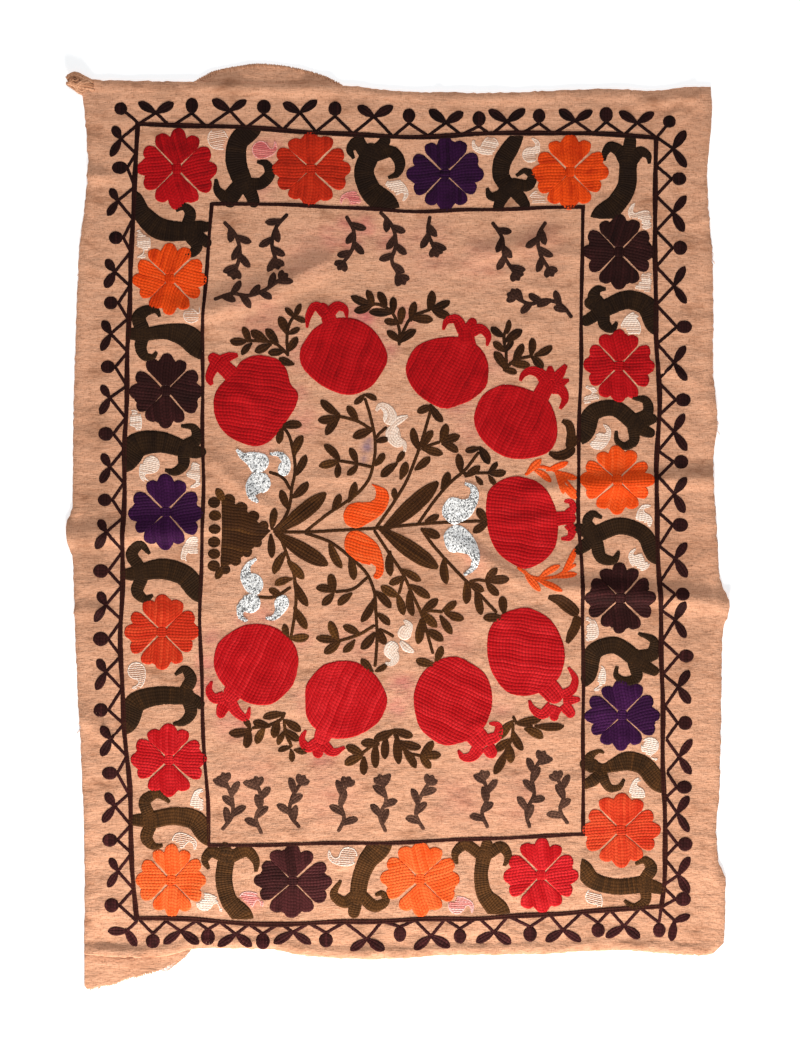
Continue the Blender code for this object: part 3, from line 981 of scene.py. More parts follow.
line_rows = []
for line_width, sides in ((OUTER_WIDTH, OUTER_LINE), (INNER_WIDTH, INNER_LINE)):
    for side in sides:
        path = smooth_path(side, step=4)
        at = lengths_along(path)
        middle = np.sin(at / at[-1] * math.pi)  # the wandering dies out towards the corners
        sway = np.stack([np.sin(at / rng.uniform(14, 22) + rng.uniform(0, 6)) for _ in range(2)], axis=-1)
        path = path + middle[:, None] * sway * LINE_SWAY
        widths = line_width * (1 + 0.12 * np.sin(at / rng.uniform(9, 15) + rng.uniform(0, 6)))
        bent = np.hstack((path, widths[:, None]))
        line_rows += band(bent, round_end=False, count=2, height=0.9, tone=0.38)
stitch_down("border_lines", line_rows, thread["dark_plum_line"])

# %% The edging of berries and leaves
# A side is its way outwards, the lengths of a pair's two leaves, the feet where the zigzag stands on the
# line, the places of its berries, and the places where its pairs of leaves cross.
EDGING_WIDTH = 3.7
LEAF_WIDE = 9.2
BERRY_BACK = 7.5  # millimetres from a berry's middle back to the zigzag's peak

EDGINGS = (  # the top, the bottom, the left and the right side
    ((0, -1), (19.5, 19.5),
     ((139, 124), (171, 127), (207, 127), (246, 128), (283, 130), (316, 132), (353, 134), (393, 137),
      (428, 136), (461, 135), (491, 135), (521, 134), (553, 134), (593, 134), (624, 135), (655, 137)),
     ((192, 106), (264, 107), (335, 109), (409, 116), (479, 119), (539, 116), (606, 115)),
     ((156, 113), (230, 111), (300, 113), (374, 117), (446, 123), (507, 122), (575, 121), (637, 123))),
    ((0, 1), (19.5, 19.5),
     ((139, 919), (166, 921), (196, 921), (220, 922), (249, 924), (280, 923), (309, 923), (345, 922),
      (382, 921), (415, 920), (445, 919), (478, 917), (508, 916), (549, 914), (582, 912), (610, 910),
      (640, 908), (661, 907)),
     ((153, 941), (208, 937), (263, 941), (326, 940), (400, 934), (460, 936), (530, 934), (598, 930),
      (659, 930)),
     ((181, 931), (236, 934), (293, 932), (367, 939), (431, 936), (494, 932), (563, 930), (624, 926))),
    ((-1, 0), (18, 14),
     ((138, 125), (136, 154), (135, 187), (133, 219), (131, 252), (130, 286), (128, 319), (128, 352),
      (127, 386), (126, 418), (125, 449), (124, 483), (124, 517), (123, 551), (122, 586), (122, 620),
      (121, 656), (122, 689), (124, 724), (127, 756), (129, 794), (131, 825), (132, 853), (134, 889),
      (137, 921)),
     ((120, 168), (116, 238), (111, 303), (108, 367), (106, 434), (105, 500), (101, 571), (101, 639),
      (101, 710), (110, 773), (110, 840), (112, 905)),
     ((121, 139), (118, 201), (115, 272), (111, 334), (110, 398), (110, 467), (107, 532), (106, 605),
      (106, 672), (111, 739), (115, 806), (118, 871))),
    ((1, 0), (20, 20.5),
     ((657, 138), (656, 166), (656, 196), (656, 231), (656, 267), (656, 305), (657, 344), (657, 381),
      (658, 416), (658, 451), (658, 477), (659, 513), (659, 546), (660, 582), (661, 610), (662, 641),
      (663, 674), (665, 706), (666, 739), (667, 772), (666, 797), (665, 828), (664, 858), (662, 886),
      (661, 907)),
     ((679, 179), (680, 248), (684, 327), (683, 400), (681, 462), (680, 525), (682, 594), (686, 656),
      (685, 723), (684, 787), (685, 844), (683, 899)),
     ((673, 149), (673, 213), (674, 286), (674, 363), (674, 432), (674, 494), (675, 559), (675, 620),
      (678, 687), (679, 757), (677, 813), (678, 875))),
)
EDGING_TONE = 0.4
CORNER_SPRIGS = (  # a berry straight out of each upper corner
    ((139, 124), (130, 116), (121, 109)),
    ((657, 137), (664, 129), (669, 122)),
)
CORNER_LEAVES = (  # and two leaves out of each lower one: the line, then each leaf's base, tip and width
    (((138, 920), (132, 926), (126, 931)), ((126, 931), (108, 931), 9), ((126, 930), (137, 946), 9)),
    (((661, 908), (674, 920)), ((674, 921), (690, 915), 8), ((674, 922), (671, 941), 9)),
)


def drawn_line(*places):
    """One row through the places."""
    return laid(places, EDGING_WIDTH, tone=EDGING_TONE)


def leaf_pair(x, y, out, longs):
    """Two leaves that spread from a place, outwards and apart."""
    rows = []
    for hand, long in zip((-1, 1), longs):
        apart = np.array((-out[1], out[0])) * hand
        way = out * rng.uniform(0.48, 0.62) + apart * rng.uniform(0.8, 0.92)
        way /= np.hypot(*way)
        base = np.array((x, y)) + way * 1.5
        tip = base + way * long * rng.uniform(0.92, 1.06)
        rows += leaf(base, tip, LEAF_WIDE * rng.uniform(0.9, 1.1), EDGING_TONE)
    return rows


def edging_rows(outwards, longs, feet, berries, pairs):
    """The zigzag, berries and leaf pairs of one side."""
    out = np.array(outwards, dtype=float)
    side = 0 if outwards[0] == 0 else 1
    peaks = [(place, BERRY_BACK) for place in berries] + [(place, 0) for place in pairs]
    rows = []
    for here, there in zip(feet[:-1], feet[1:]):
        for place, back in peaks:
            if not here[side] < place[side] < there[side]:
                continue
            top = np.array(place) - out * back
            rows += drawn_line(here, top) + drawn_line(top, there)
            if back:
                rows += drawn_line(top, np.array(place) - out * 4)
    for x, y in berries:
        across, down = rng.uniform(12.5, 14.5, 2)
        rows += berry(x, y, across + abs(out[0]) * 1.5, down + abs(out[1]) * 1.5, 90, EDGING_TONE)
    for x, y in pairs:
        rows += leaf_pair(x, y, out, longs)
    return rows


edging = []
for side in EDGINGS:
    edging += edging_rows(*side)
for sprig in CORNER_SPRIGS:
    edging += drawn_line(*sprig) + berry(*sprig[-1], 13, 12.5, 90, EDGING_TONE)
for line, *leaves in CORNER_LEAVES:
    edging += drawn_line(*line)
    for base, tip, wide in leaves:
        edging += leaf(base, tip, wide, EDGING_TONE)
stitch_down("edging", edging, thread["plum"])

# %% [markdown]
# Nineteen rosettes stand in the border. Each has four fan-shaped petals round a small square, with a strip
# of bare cotton between neighbours, and each petal's rim has three round lobes. The petal is worked out in
# polar form, as a radius for each direction, and turned four ways. Real rows in the top and bottom petals
# run up and down and those in the side petals run across, each leaning as the hand that laid them leaned.

# %% Rosettes
ROSETTES = (  # x, y, across, down and thread
    (177, 169, 79, 80, "red"), (311, 169, 78, 73, "rust"), (445, 174, 76, 74, "violet"),
    (570, 172, 76, 74, "orange"), (619, 252, 72, 74, "plum"), (619, 366, 70, 72, "red"),
    (617, 480, 74, 68, "orange"), (620, 598, 70, 70, "plum"), (622, 715, 74, 70, "violet"),
    (621, 830, 78, 73, "rust"), (541, 875, 74, 74, "red"), (420, 879, 78, 74, "orange"),
    (293, 881, 77, 72, "plum"), (171, 880, 69, 72, "orange"), (169, 760, 75, 72, "red"),
    (162, 632, 74, 74, "rust"), (166, 512, 74, 75, "violet"), (166, 391, 72, 74, "plum"),
    (170, 279, 74, 71, "orange"),
)
GAP = 0.6  # half the bare strip between two petals, in millimetres
HEART = 4.7  # half the little square in the middle
LOBE_TURN = 14.0  # degrees from the petal's middle to the notches of its rim
NOTCH_WIDTH = 5.2  # degrees


def petal_outline(radius, turn, notch, lobes, gap):
    """One petal about (0, 0), pointing along a turn in degrees; lobes says how far its three lobes reach."""
    spread = np.linspace(-44.6, 44.6, 61)
    angles = np.radians(spread)
    dip = np.exp(-(np.abs(np.abs(spread) - LOBE_TURN) / NOTCH_WIDTH) ** 1.2)
    corner = np.clip((np.abs(spread) - 33) / 11, 0, 1) ** 2
    lobe = np.where(spread < -LOBE_TURN, lobes[0], np.where(spread > LOBE_TURN, lobes[2], lobes[1]))
    rim = radius * (lobe - notch * dip - 0.2 * corner)
    points = np.stack((rim * np.cos(angles), rim * np.sin(angles)), axis=-1)
    # The petal's sides keep their distance from the slanting gaps
    reach = np.minimum(np.abs(points[:, 1]), points[:, 0] - gap * math.sqrt(2))
    points[:, 1] = np.sign(points[:, 1]) * reach
    foot = np.array(((HEART, -(HEART - 1.0)), (HEART, HEART - 1.0)))
    points = np.concatenate((foot[:1], points, foot[1:]))
    c, s = math.cos(math.radians(turn)), math.sin(math.radians(turn))
    return points @ np.array(((c, s), (-s, c)))


def rosette_rows(x, y, across, down):
    """All rows of a rosette."""
    radius = (across + down) / 4
    stretch = np.array((across, down)) / (2 * radius)
    middle = np.array((x, y))
    lean = rng.uniform(-14, 14)
    rows = []
    for turn in (0, 90, 180, 270):
        lobes = (rng.uniform(0.93, 1.0), 1.03, rng.uniform(0.93, 1.0))
        aim, notch, gap = turn + rng.uniform(-2, 2), rng.uniform(0.15, 0.21), GAP * rng.uniform(0.4, 1.2)
        petal = petal_outline(radius, aim, notch, lobes, gap)
        angle = (90 if turn in (90, 270) else 0) + lean + rng.uniform(-8, 8)
        rows += filled(middle + petal * stretch, angle, ROW_PITCH, 0.9, rng.uniform(0.44, 0.68), wave=0.7)
    square = ((-1, -1), (0, -1.08), (1, -1), (1.08, 0), (1, 1), (0, 1.08), (-1, 1), (-1.08, 0))
    angle = rng.choice((0, 90)) + rng.uniform(-6, 6)
    rows += filled(middle + np.array(square) * HEART, angle, 2.8, 0.95, 0.5)
    return rows


rosettes = []
for colour in ("red", "orange", "rust", "plum", "violet"):
    rows = [row for *form, own in ROSETTES if own == colour for row in rosette_rows(*form)]
    stitch_down(colour + "_rosettes", rows, thread[colour])
    rosettes += rows

# %% [markdown]
# Between the rosettes lie scrolling leaves in black-green thread. Each is one thick stroke that leaves one
# line of the border with a broad foot and reaches the other line with a head of two curled hooks and one or
# two round lobes. So a leaf is a table of strokes: the body, the hooks and the lobes, each a list of points
# and a width.

# %% Scrolling leaves
SCROLLS = (  # body, hooks and lobes; each stroke is a list of x, y and width
    (((252, 126, 23), (238, 143, 20), (236, 160, 21), (243, 183, 19)),
     (((238, 186, 13), (226, 197, 13), (218, 191, 9), (216, 179, 3)),
      ((246, 184, 13), (262, 183, 12), (270, 173, 11), (266, 164, 8), (257, 162, 3))),
     (((240, 186, 14), (234, 196, 13), (230, 202, 12)), ((245, 186, 14), (252, 196, 13), (254, 202, 12)))),
    (((387, 209, 28), (370, 190, 22), (364, 172, 20), (371, 153, 19)),
     (((366, 156, 12), (356, 143, 12), (350, 150, 8), (354, 159, 3)),
      ((376, 156, 12), (392, 152, 12), (400, 164, 11), (397, 174, 7), (388, 178, 3))),
     (((367, 154, 14), (361, 146, 13), (359, 140, 11)), ((374, 153, 14), (382, 146, 13), (385, 141, 11)))),
    (((517, 136, 14), (511, 147, 17), (502, 163, 18), (501, 176, 17), (510, 189, 16)),
     (((507, 186, 11), (499, 196, 11), (490, 196, 8), (487, 188, 3)),
      ((514, 184, 12), (529, 185, 11), (532, 176, 9), (525, 171, 6), (516, 176, 3))),
     (((508, 190, 13), (501, 200, 12), (498, 207, 10)), ((513, 190, 13), (521, 199, 12), (525, 205, 10)))),
    (((601, 219, 24), (616, 204, 20), (626, 188, 19), (628, 165, 17)),
     (((624, 161, 12), (618, 150, 12), (610, 147, 10), (605, 153, 7), (604, 161, 3)),
      ((632, 161, 12), (641, 152, 11), (648, 156, 7), (649, 164, 3))),
     (((628, 165, 15), (629, 150, 14), (630, 141, 12)),)),
    (((658, 326, 22), (646, 306, 20), (630, 300, 19), (603, 309, 17)),
     (((601, 306, 13), (594, 296, 13), (597, 290, 9), (606, 289, 3)),
      ((603, 312, 13), (605, 325, 12), (612, 329, 8), (617, 322, 3))),
     (((600, 308, 13), (590, 303, 12)), ((601, 311, 13), (591, 318, 12), (586, 321, 11)))),
    (((580, 434, 24), (594, 412, 17), (612, 408, 16), (636, 424, 17)),
     (((634, 420, 11), (648, 412, 11), (646, 401, 9), (632, 398, 3)),
      ((633, 427, 12), (633, 442, 10), (624, 446, 8), (617, 441, 6), (616, 431, 3))),
     (((636, 423, 13), (646, 421, 12), (652, 419, 10)), ((635, 426, 13), (645, 431, 12), (650, 433, 10)))),
    (((658, 556, 20), (643, 534, 16), (622, 526, 17), (592, 536, 17)),
     (((594, 532, 11), (587, 521, 10), (592, 514, 8), (602, 518, 3)),
      ((596, 541, 13), (602, 558, 12), (614, 560, 8), (619, 551, 3))),
     (((591, 534, 13), (582, 530, 12), (578, 528, 10)), ((592, 539, 13), (583, 547, 12), (579, 550, 10)))),
    (((581, 676, 26), (596, 650, 17), (612, 645, 17), (638, 660, 17)),
     (((636, 656, 11), (652, 652, 11), (654, 642, 9), (638, 633, 3)),
      ((634, 663, 13), (636, 678, 11), (625, 681, 9), (616, 675, 6), (617, 666, 3))),
     (((637, 658, 13), (648, 657, 12), (654, 655, 10)), ((637, 662, 13), (648, 668, 12), (654, 671, 10)))),
    (((662, 783, 22), (641, 764, 19), (627, 761, 19), (614, 765, 14), (603, 768, 9), (594, 766, 11)),
     (((591, 767, 11), (589, 758, 10), (594, 753, 6), (600, 751, 4), (604, 753, 2)),
      ((602, 770, 9), (604, 780, 10), (610, 788, 8), (619, 787, 6), (624, 779, 3))),
     (((598, 768, 10), (590, 764, 13), (586, 764, 13)), ((600, 773, 10), (593, 780, 12), (586, 784, 10)))),
    (((580, 867, 20), (591, 879, 17), (612, 886, 16), (645, 884, 17)),
     (((644, 880, 12), (651, 867, 12), (645, 860, 8), (635, 864, 3)),
      ((645, 888, 12), (645, 901, 10), (634, 907, 8), (624, 900, 3))),
     (((646, 885, 14), (655, 887, 13), (661, 889, 11)),)),
    (((243, 919, 24), (229, 900, 17), (224, 880, 17), (227, 856, 17)),
     (((224, 857, 11), (211, 852, 11), (205, 860, 8), (209, 869, 3)),
      ((231, 857, 12), (247, 851, 12), (256, 861, 8), (256, 872, 3))),
     (((227, 857, 13), (225, 848, 12)),)),
    (((380, 843, 27), (367, 862, 19), (360, 880, 17), (358, 896, 17)),
     (((356, 894, 11), (345, 902, 12), (334, 895, 9), (341, 880, 3)),
      ((361, 895, 12), (376, 906, 12), (386, 900, 8), (382, 893, 6), (375, 895, 3))),
     (((357, 896, 14), (354, 912, 12)),)),
    (((499, 914, 25), (484, 893, 16), (481, 874, 14), (484, 855, 15)),
     (((481, 855, 11), (464, 845, 11), (455, 854, 8), (457, 864, 3)),
      ((487, 855, 11), (502, 847, 11), (508, 856, 8), (504, 866, 3))),
     (((484, 856, 13), (487, 845, 12)),)),
    (((134, 196, 12), (142, 213, 18), (158, 228, 22), (189, 232, 18)),
     (((187, 226, 12), (190, 212, 11), (184, 207, 8), (176, 211, 3)),
      ((190, 236, 13), (197, 248, 11), (191, 254, 8), (185, 255, 3))),
     (((190, 228, 13), (203, 227, 12), (207, 227, 10)), ((191, 234, 13), (203, 240, 12), (207, 243, 10)))),
    (((203, 348, 26), (186, 336, 23), (168, 332, 16), (148, 334, 13)),
     (((143, 330, 14), (139, 317, 14), (149, 310, 10), (157, 311, 6), (160, 317, 3)),
      ((143, 337, 13), (141, 348, 12), (146, 357, 9), (153, 357, 6), (157, 352, 3))),
     (((147, 334, 14), (137, 334, 14), (132, 334, 12)),)),
    (((123, 461, 27), (138, 445, 25), (158, 442, 22), (187, 450, 16)),
     (((185, 446, 12), (197, 438, 12), (194, 428, 8), (181, 426, 3)),
      ((184, 453, 13), (183, 466, 11), (174, 472, 8), (165, 470, 3))),
     (((187, 450, 14), (197, 452, 13), (201, 452, 11)),)),
    (((202, 592, 24), (184, 575, 21), (164, 569, 21), (141, 572, 17)),
     (((140, 568, 12), (132, 553, 12), (141, 545, 9), (150, 554, 3)),
      ((142, 577, 13), (138, 593, 12), (146, 599, 8), (153, 595, 3))),
     (((139, 572, 14), (130, 574, 13), (126, 574, 11)),)),
    (((123, 723, 27), (137, 702, 21), (156, 696, 19), (186, 696, 17)),
     (((184, 692, 12), (191, 678, 12), (184, 669, 8), (175, 675, 3)),
      ((188, 699, 13), (191, 713, 12), (183, 722, 8), (173, 724, 3))),
     (((187, 697, 14), (197, 702, 12), (200, 704, 10)),)),
    (((210, 837, 20), (195, 820, 20), (176, 816, 18), (151, 820, 17)),
     (((150, 817, 12), (145, 801, 12), (157, 794, 9), (170, 802, 3)),
      ((152, 823, 12), (147, 839, 12), (154, 846, 8), (163, 845, 3))),
     (((151, 820, 14), (139, 820, 13), (134, 820, 11)),)),
)

FOOT_BEYOND = 7.0  # millimetres past the border line, cut off again
FOOT_SHARE = 0.9  # a foot's width, as a share of the table's
LIT_LEAVES_FROM = 780  # chart height below which the leaves are painted lighter, being nearer the lamp
LIT_LEAVES_LIGHTER = 0.3
scrolls = []
for body, hooks, lobes in SCROLLS:
    start, second = np.array(body[0][:2]), np.array(body[1][:2])
    # Painted light: the leaves at the cloth's lower end, nearer the lamp, are given a lighter tone
    tone = rng.uniform(0.16, 0.38) + LIT_LEAVES_LIGHTER * (start[1] > LIT_LEAVES_FROM)
    # The foot is cut along the border line that it stands on: a level one at the top and bottom of the cloth
    axis = 1 if abs(start[0] - CHART_MIDDLE[0]) < 175 or start[1] < 230 and start[0] > 500 else 0
    beyond = start.copy()
    beyond[axis] += math.copysign(FOOT_BEYOND, start[axis] - second[axis])
    foot = [(*place, FOOT_SHARE * body[0][2]) for place in (beyond, start)]
    scrolls += rungs(foot + list(body[1:]), tone=tone, foot=(axis, start[axis]))
    for hook in hooks:
        scrolls += rungs(hook, True, False, tone=tone, height=0.85)
    for lobe in lobes:
        scrolls += rungs(lobe, True, tone=tone, height=0.85)
    # A knot of short rows covers the place where body, hooks and lobes meet
    *neck, width = body[-1]
    heading = 90 + math.degrees(math.atan2(*(np.array(neck) - body[-2][:2])[::-1]))
    scrolls += filled(oval(*neck, width * 1.05, width * 1.05), heading, ROW_PITCH, 0.95, tone)
stitch_down("scrolling_leaves", scrolls, thread["black_green"])

# %% [markdown]
# Nine pomegranates lie in the field, the largest motifs of the cloth. Their red thread runs straight across
# each fruit, at another slant on each one, and the crown at its neck is worked in short curled strokes. The
# outline of a fruit is a closed smooth curve through about ten points, and filled() lays the rows in it.

# %% Pomegranates
FRUITS = (  # outline, slant of the rows, and the crown's strokes
    (((234, 371), (240, 362), (260, 355), (278, 360), (287, 371), (291, 384), (298, 393), (296, 406),
      (288, 419), (277, 434), (266, 443), (253, 446), (238, 441), (225, 434), (218, 423), (214, 409),
      (214, 399), (218, 388), (225, 380)),
     7,
     (((234, 377, 17), (225, 368, 16), (217, 362, 15)), ((218, 362, 13), (212, 358, 12), (208, 357, 9)),
      ((221, 361, 12), (230, 356.5, 9), (238, 355, 4)),
      ((216, 365, 13), (211.5, 372, 10), (209.5, 379, 8), (212, 385, 4)))),
    (((322, 324), (338, 318), (355, 319), (370, 327), (381, 340), (387, 358), (381, 375), (368, 389),
      (349, 395), (330, 390), (313, 379), (301, 364), (301, 347), (309, 334)),
     -68,
     (((333, 328, 16), (329, 319, 15), (327, 312, 14)),
      ((326, 314, 12), (315, 306, 9), (309, 315, 7), (307, 328, 2.5)),
      ((326, 313, 11), (323, 307, 10), (322, 303, 8)),
      ((329, 314, 12), (338, 306, 10), (345, 309, 7), (347, 318, 2.5)))),
    (((406, 368), (412, 352), (426, 341), (446, 337), (466, 339), (480, 348), (489, 366), (487, 384),
      (474, 398), (461, 404), (446, 409), (430, 403), (414, 390)),
     -62,
     (((467, 346, 19), (466, 336, 16), (466, 328, 14)),
      ((463, 331, 12), (455, 319, 10), (447, 321, 7), (443, 330, 2.5)),
      ((467, 331, 12), (472, 323, 10), (473, 318, 8)),
      ((470, 332, 13), (481, 329, 10), (488, 336, 7), (487, 346, 2.5)))),
    (((474, 421), (477, 405), (486, 393), (500, 385), (516, 386), (532, 391), (546, 398), (555, 413),
      (557, 432), (551, 450), (535, 457), (514, 459), (494, 451), (480, 437)),
     -66,
     (((538, 402, 19), (544, 390, 17), (551, 379, 18)),
      ((547, 383, 14), (539, 373, 11), (529, 371, 8), (523, 375, 6), (520, 381, 3)),
      ((549, 380, 13), (550, 373, 10), (550, 366, 4)), ((554, 381, 12), (561, 372, 9), (566, 365, 4)),
      ((555, 386, 12), (563, 382, 8), (569, 380, 3)),
      ((553, 387, 14), (561, 390, 11), (565, 398, 8), (560, 409, 3)))),
    (((488, 492), (501, 480), (518, 476), (536, 481), (548, 493), (556, 510), (558, 530), (554, 549),
      (542, 562), (524, 568), (507, 561), (493, 545), (487, 524), (486, 505)),
     8,
     (((554, 519, 15), (563, 518, 14), (576, 518, 13)),
      ((568, 514, 10), (573, 508, 8), (571, 502, 6), (564, 501, 3)),
      ((568, 524, 10), (572, 530, 9), (570, 537, 7), (561, 539, 3)))),
    (((490, 628), (502, 614), (519, 608), (538, 611), (554, 624), (563, 643), (564, 664), (556, 682),
      (541, 692), (521, 696), (503, 688), (491, 670), (487, 648)),
     9,
     (((545, 684, 22), (554, 694, 20), (559, 702, 18)),
      ((562, 696, 12), (573, 688, 9), (575, 679, 7), (568, 667, 2.5)),
      ((563, 701, 11), (571, 700, 9), (580, 699, 4)), ((563, 704, 13), (569, 711, 11), (573, 717, 8)),
      ((557, 706, 12), (554, 715, 10), (554, 721, 7)),
      ((552, 706, 12), (541, 714, 10), (533, 709, 7), (529, 700, 2.5)))),
    (((415, 712), (414, 694), (424, 671), (438, 660), (455, 657), (474, 664), (488, 679), (492, 697),
      (489, 717), (479, 733), (463, 742), (447, 745), (429, 738), (419, 725)),
     24,
     (((473, 732, 22), (481, 741, 20), (486, 746, 17)),
      ((485, 741, 13), (498, 734, 10), (498, 725, 7), (489, 723, 2.5)),
      ((487, 746, 14), (491, 752, 13), (493, 758, 10)),
      ((480, 746, 14), (470, 757, 10), (463, 757, 7), (458, 750, 2.5)))),
    (((305, 703), (306, 686), (316, 671), (333, 662), (352, 661), (369, 669), (381, 684), (387, 702),
      (382, 717), (369, 730), (350, 737), (332, 738), (317, 730), (308, 719)),
     -66,
     (((326, 728, 18), (322, 738, 17), (320, 744, 15)),
      ((318, 742, 12), (307, 747, 10), (302, 740, 7), (306, 730, 2.5)),
      ((320, 744, 14), (318, 751, 12), (319, 758, 8)), ((323, 744, 12), (333, 752, 9), (345, 747, 3)))),
    (((214, 662), (218, 645), (230, 632), (246, 625), (262, 624), (280, 630), (294, 644), (299, 661),
      (295, 680), (286, 693), (270, 704), (252, 704), (234, 694), (220, 680)),
     -64,
     (((237, 686, 20), (231, 695, 18), (226, 701, 16)),
      ((224, 697, 13), (214, 698, 10), (209, 690, 7), (212, 681, 2.5)),
      ((227, 701, 14), (222, 710, 12), (220, 718, 7)),
      ((230, 701, 13), (238, 713, 10), (246, 718, 7), (250, 707, 2.5)))),
)
FRUIT_PITCH = 3.4

fruits = []
for points, slant, crown in FRUITS:
    outline = smooth_path(points, closed=True)
    fruits += filled(outline, slant + rng.uniform(-2, 2), FRUIT_PITCH, 0.9, 0.5, wave=0.8)
    for stroke in crown:
        fruits += band(stroke, round_end=stroke[-1][2] > 5, tone=0.6, height=0.85)
stitch_down("pomegranates", fruits, thread["red"])

# %% [markdown]
# The vase lies on its side at the left of the field and its branches spread to the right. It is a triangle
# with a scalloped rim on both slanting sides and a row of beads along its foot. The olive thread of the
# vase, stems and leaves has faded unevenly, so its finish runs from nearly black to a light tip.

# %% The vase
VASE = (
    (221.5, 500), (229, 500), (241, 508), (253, 516), (263, 526), (271, 531), (262, 540), (254, 547),
    (244, 555), (233, 563), (221, 569), (220.5, 562), (222.3, 530),
)
VASE_SLANT = 9
SCALLOPS = (  # x, y and size of each lobe of the rim
    (229.2, 500.6, 12.8), (241.4, 508.2, 12.8), (253.5, 516.3, 12), (263.7, 526, 10.5), (257.5, 543, 9.5),
    (247, 551.6, 10.8), (235.6, 560.4, 11.4), (225.6, 569.6, 10),
)
BEADS = ((214.2, 502.6), (215.2, 515.7), (214.9, 529.1), (214.2, 542.2), (214.2, 554), (213.9, 566))

vase = filled(np.array(VASE), VASE_SLANT, 3.0, 1.0, 0.45, wave=1.0)
for x, y, size in SCALLOPS:
    vase += berry(x, y, size, size * rng.uniform(0.94, 1.06), rng.uniform(-30, 30), 0.3)
for x, y in BEADS:
    across, down = rng.uniform(12, 13), rng.uniform(9.6, 11.6)
    vase += berry(x, y, across, down, rng.uniform(0, 60), rng.uniform(0.1, 0.5))
vase += leaf((224, 501), (216.5, 488.5), 8.5, 0.7) + leaf((223, 567), (216, 579), 8, 0.6)

# %% Stems, and the leaves along them
# Each branch is its stem and its leaves; a leaf goes from its foot on the stem to its tip.
STEM_WIDTH = 3.7

BRANCHES = (
    ((((273, 531), (282, 522), (289, 508), (292, 487), (295, 472), (293, 450), (287, 432), (283, 427)),
      ((291, 490), (282, 477), (269, 472))),
     ((288, 508, 281, 490), (293, 497, 308, 482), (297, 474, 306, 455), (294, 455, 303, 436),
      (283, 426, 302, 425), (282, 428, 279, 444))),
    ((((305, 532), (328, 514), (346, 502), (361, 490), (370, 477), (373, 466), (375, 439), (372, 423),
       (365, 398)),
      ((372, 467), (358, 464), (340, 461)), ((372, 430), (359, 422), (338, 416)),
      ((375, 439), (381, 432), (387, 427))),
     ((333, 510, 340, 494), (349, 501, 355, 482), (364, 395, 354, 404), (365, 395, 377, 400),
      (339, 460, 324, 445), (338, 461, 319, 466), (338, 464, 337, 478), (357, 462, 350, 448),
      (357, 465, 347, 475), (338, 414, 321, 400), (337, 417, 318, 420), (338, 419, 326, 435),
      (357, 420, 347, 406), (371, 430.5, 353, 438), (376, 442, 389, 439), (376, 465, 384, 453))),
    ((((280, 536), (288, 557), (294, 575), (296, 599), (294, 620), (291, 637)),
      ((291, 587), (274, 597), (258, 597))),
     ((285, 553, 274, 574), (289, 562, 304, 579), (295, 583, 308, 606), (291, 579, 275, 585),
      (295, 609, 307, 629), (288, 637, 284, 624), (291, 638, 309, 636), (281, 596, 269, 589))),
    ((((305, 533), (330, 542), (351, 558), (367, 574), (374, 591), (376, 613), (377, 638), (375, 667)),
      ((368, 577), (353, 589), (335, 592)), ((375, 625), (360, 634), (339, 641)),
      ((379, 629), (386, 632), (394, 637))),
     ((330, 544, 342, 568), (350, 559, 354, 580), (376, 592, 391, 608), (374, 600, 361, 622),
      (378, 614, 390, 625), (378, 630, 386, 644), (372, 671, 361, 659), (376, 671, 387, 664),
      (334, 591, 330, 574), (334, 591, 316, 588), (333, 594, 322, 605), (351, 594, 338, 605),
      (359, 634, 343, 626), (338, 639, 330, 621), (337, 640, 316, 638), (339, 642, 324, 653),
      (354, 641, 343, 652), (374, 634, 361, 649))),
    ((((376, 528), (394, 502), (406, 482), (415, 460), (423, 437), (431, 409)),
      ((423, 449), (431, 445), (440, 442))),
     ((419, 449, 413, 428), (423, 447, 433, 431), (423, 449, 443, 454), (416, 469, 430, 457),
      (396, 464, 381, 477), (397, 462, 404, 451), (401, 478, 406, 462), (395, 500, 394, 488),
      (441, 441, 446, 424), (443, 442, 460, 436), (443, 444, 458, 452), (431, 406, 417, 412),
      (431, 406, 443, 422))),
    ((((418, 524), (439, 495), (453, 480), (463, 472), (479, 452)), ((463, 474), (476, 473), (490, 473))),
     ((426, 521, 439, 515), (442, 488, 448, 472), (461, 472, 458, 454), (466, 476, 480, 466),
      (490, 473, 506, 472), (489, 472, 497, 462), (489, 476, 496, 485), (476, 477, 483, 485),
      (479, 448, 465, 451), (480, 448, 489, 464))),
    ((((374, 530), (389, 553), (403, 574), (413, 596), (421, 613), (426, 629), (433, 654)),
      ((403, 579), (401, 586), (399, 594)), ((422, 611), (432, 611), (443, 612))),
     ((390, 553, 391, 576), (403, 570, 421, 581), (403, 577, 389, 584), (398, 596, 381, 586),
      (398, 596, 404, 615), (411, 586, 430, 598), (409, 593, 413, 616), (423, 611, 438, 599),
      (443, 611, 456, 601), (446, 613, 464, 619), (441, 617, 452, 634), (424, 613, 437, 627),
      (421, 621, 418, 644), (426, 631, 443, 641), (433, 664, 416, 660), (436, 661, 442, 646))),
    ((((421, 528), (429, 540), (446, 560), (466, 581), (479, 594), (497, 613)),
      ((469, 582), (477, 580), (486, 581))),
     ((423, 530, 440, 537), (444, 560, 447, 584), (466, 583, 466, 604), (472, 583, 484, 591),
      (486, 581, 497, 568), (489, 581, 509, 579), (487, 583, 499, 595), (476, 593, 481, 615),
      (504, 613, 502, 596), (502, 618, 483, 618))),
)
MIDDLE_STEM = ((273, 532), (308, 532), (345, 530), (380, 528), (421, 524), (455, 522), (484, 521))
SMALL_PAIRS = (
    (272, 528, 275, 508, 8), (271, 536, 272, 558, 8), (486, 521, 477, 508.5, 9), (487, 523, 473, 532.5, 8.5),
)
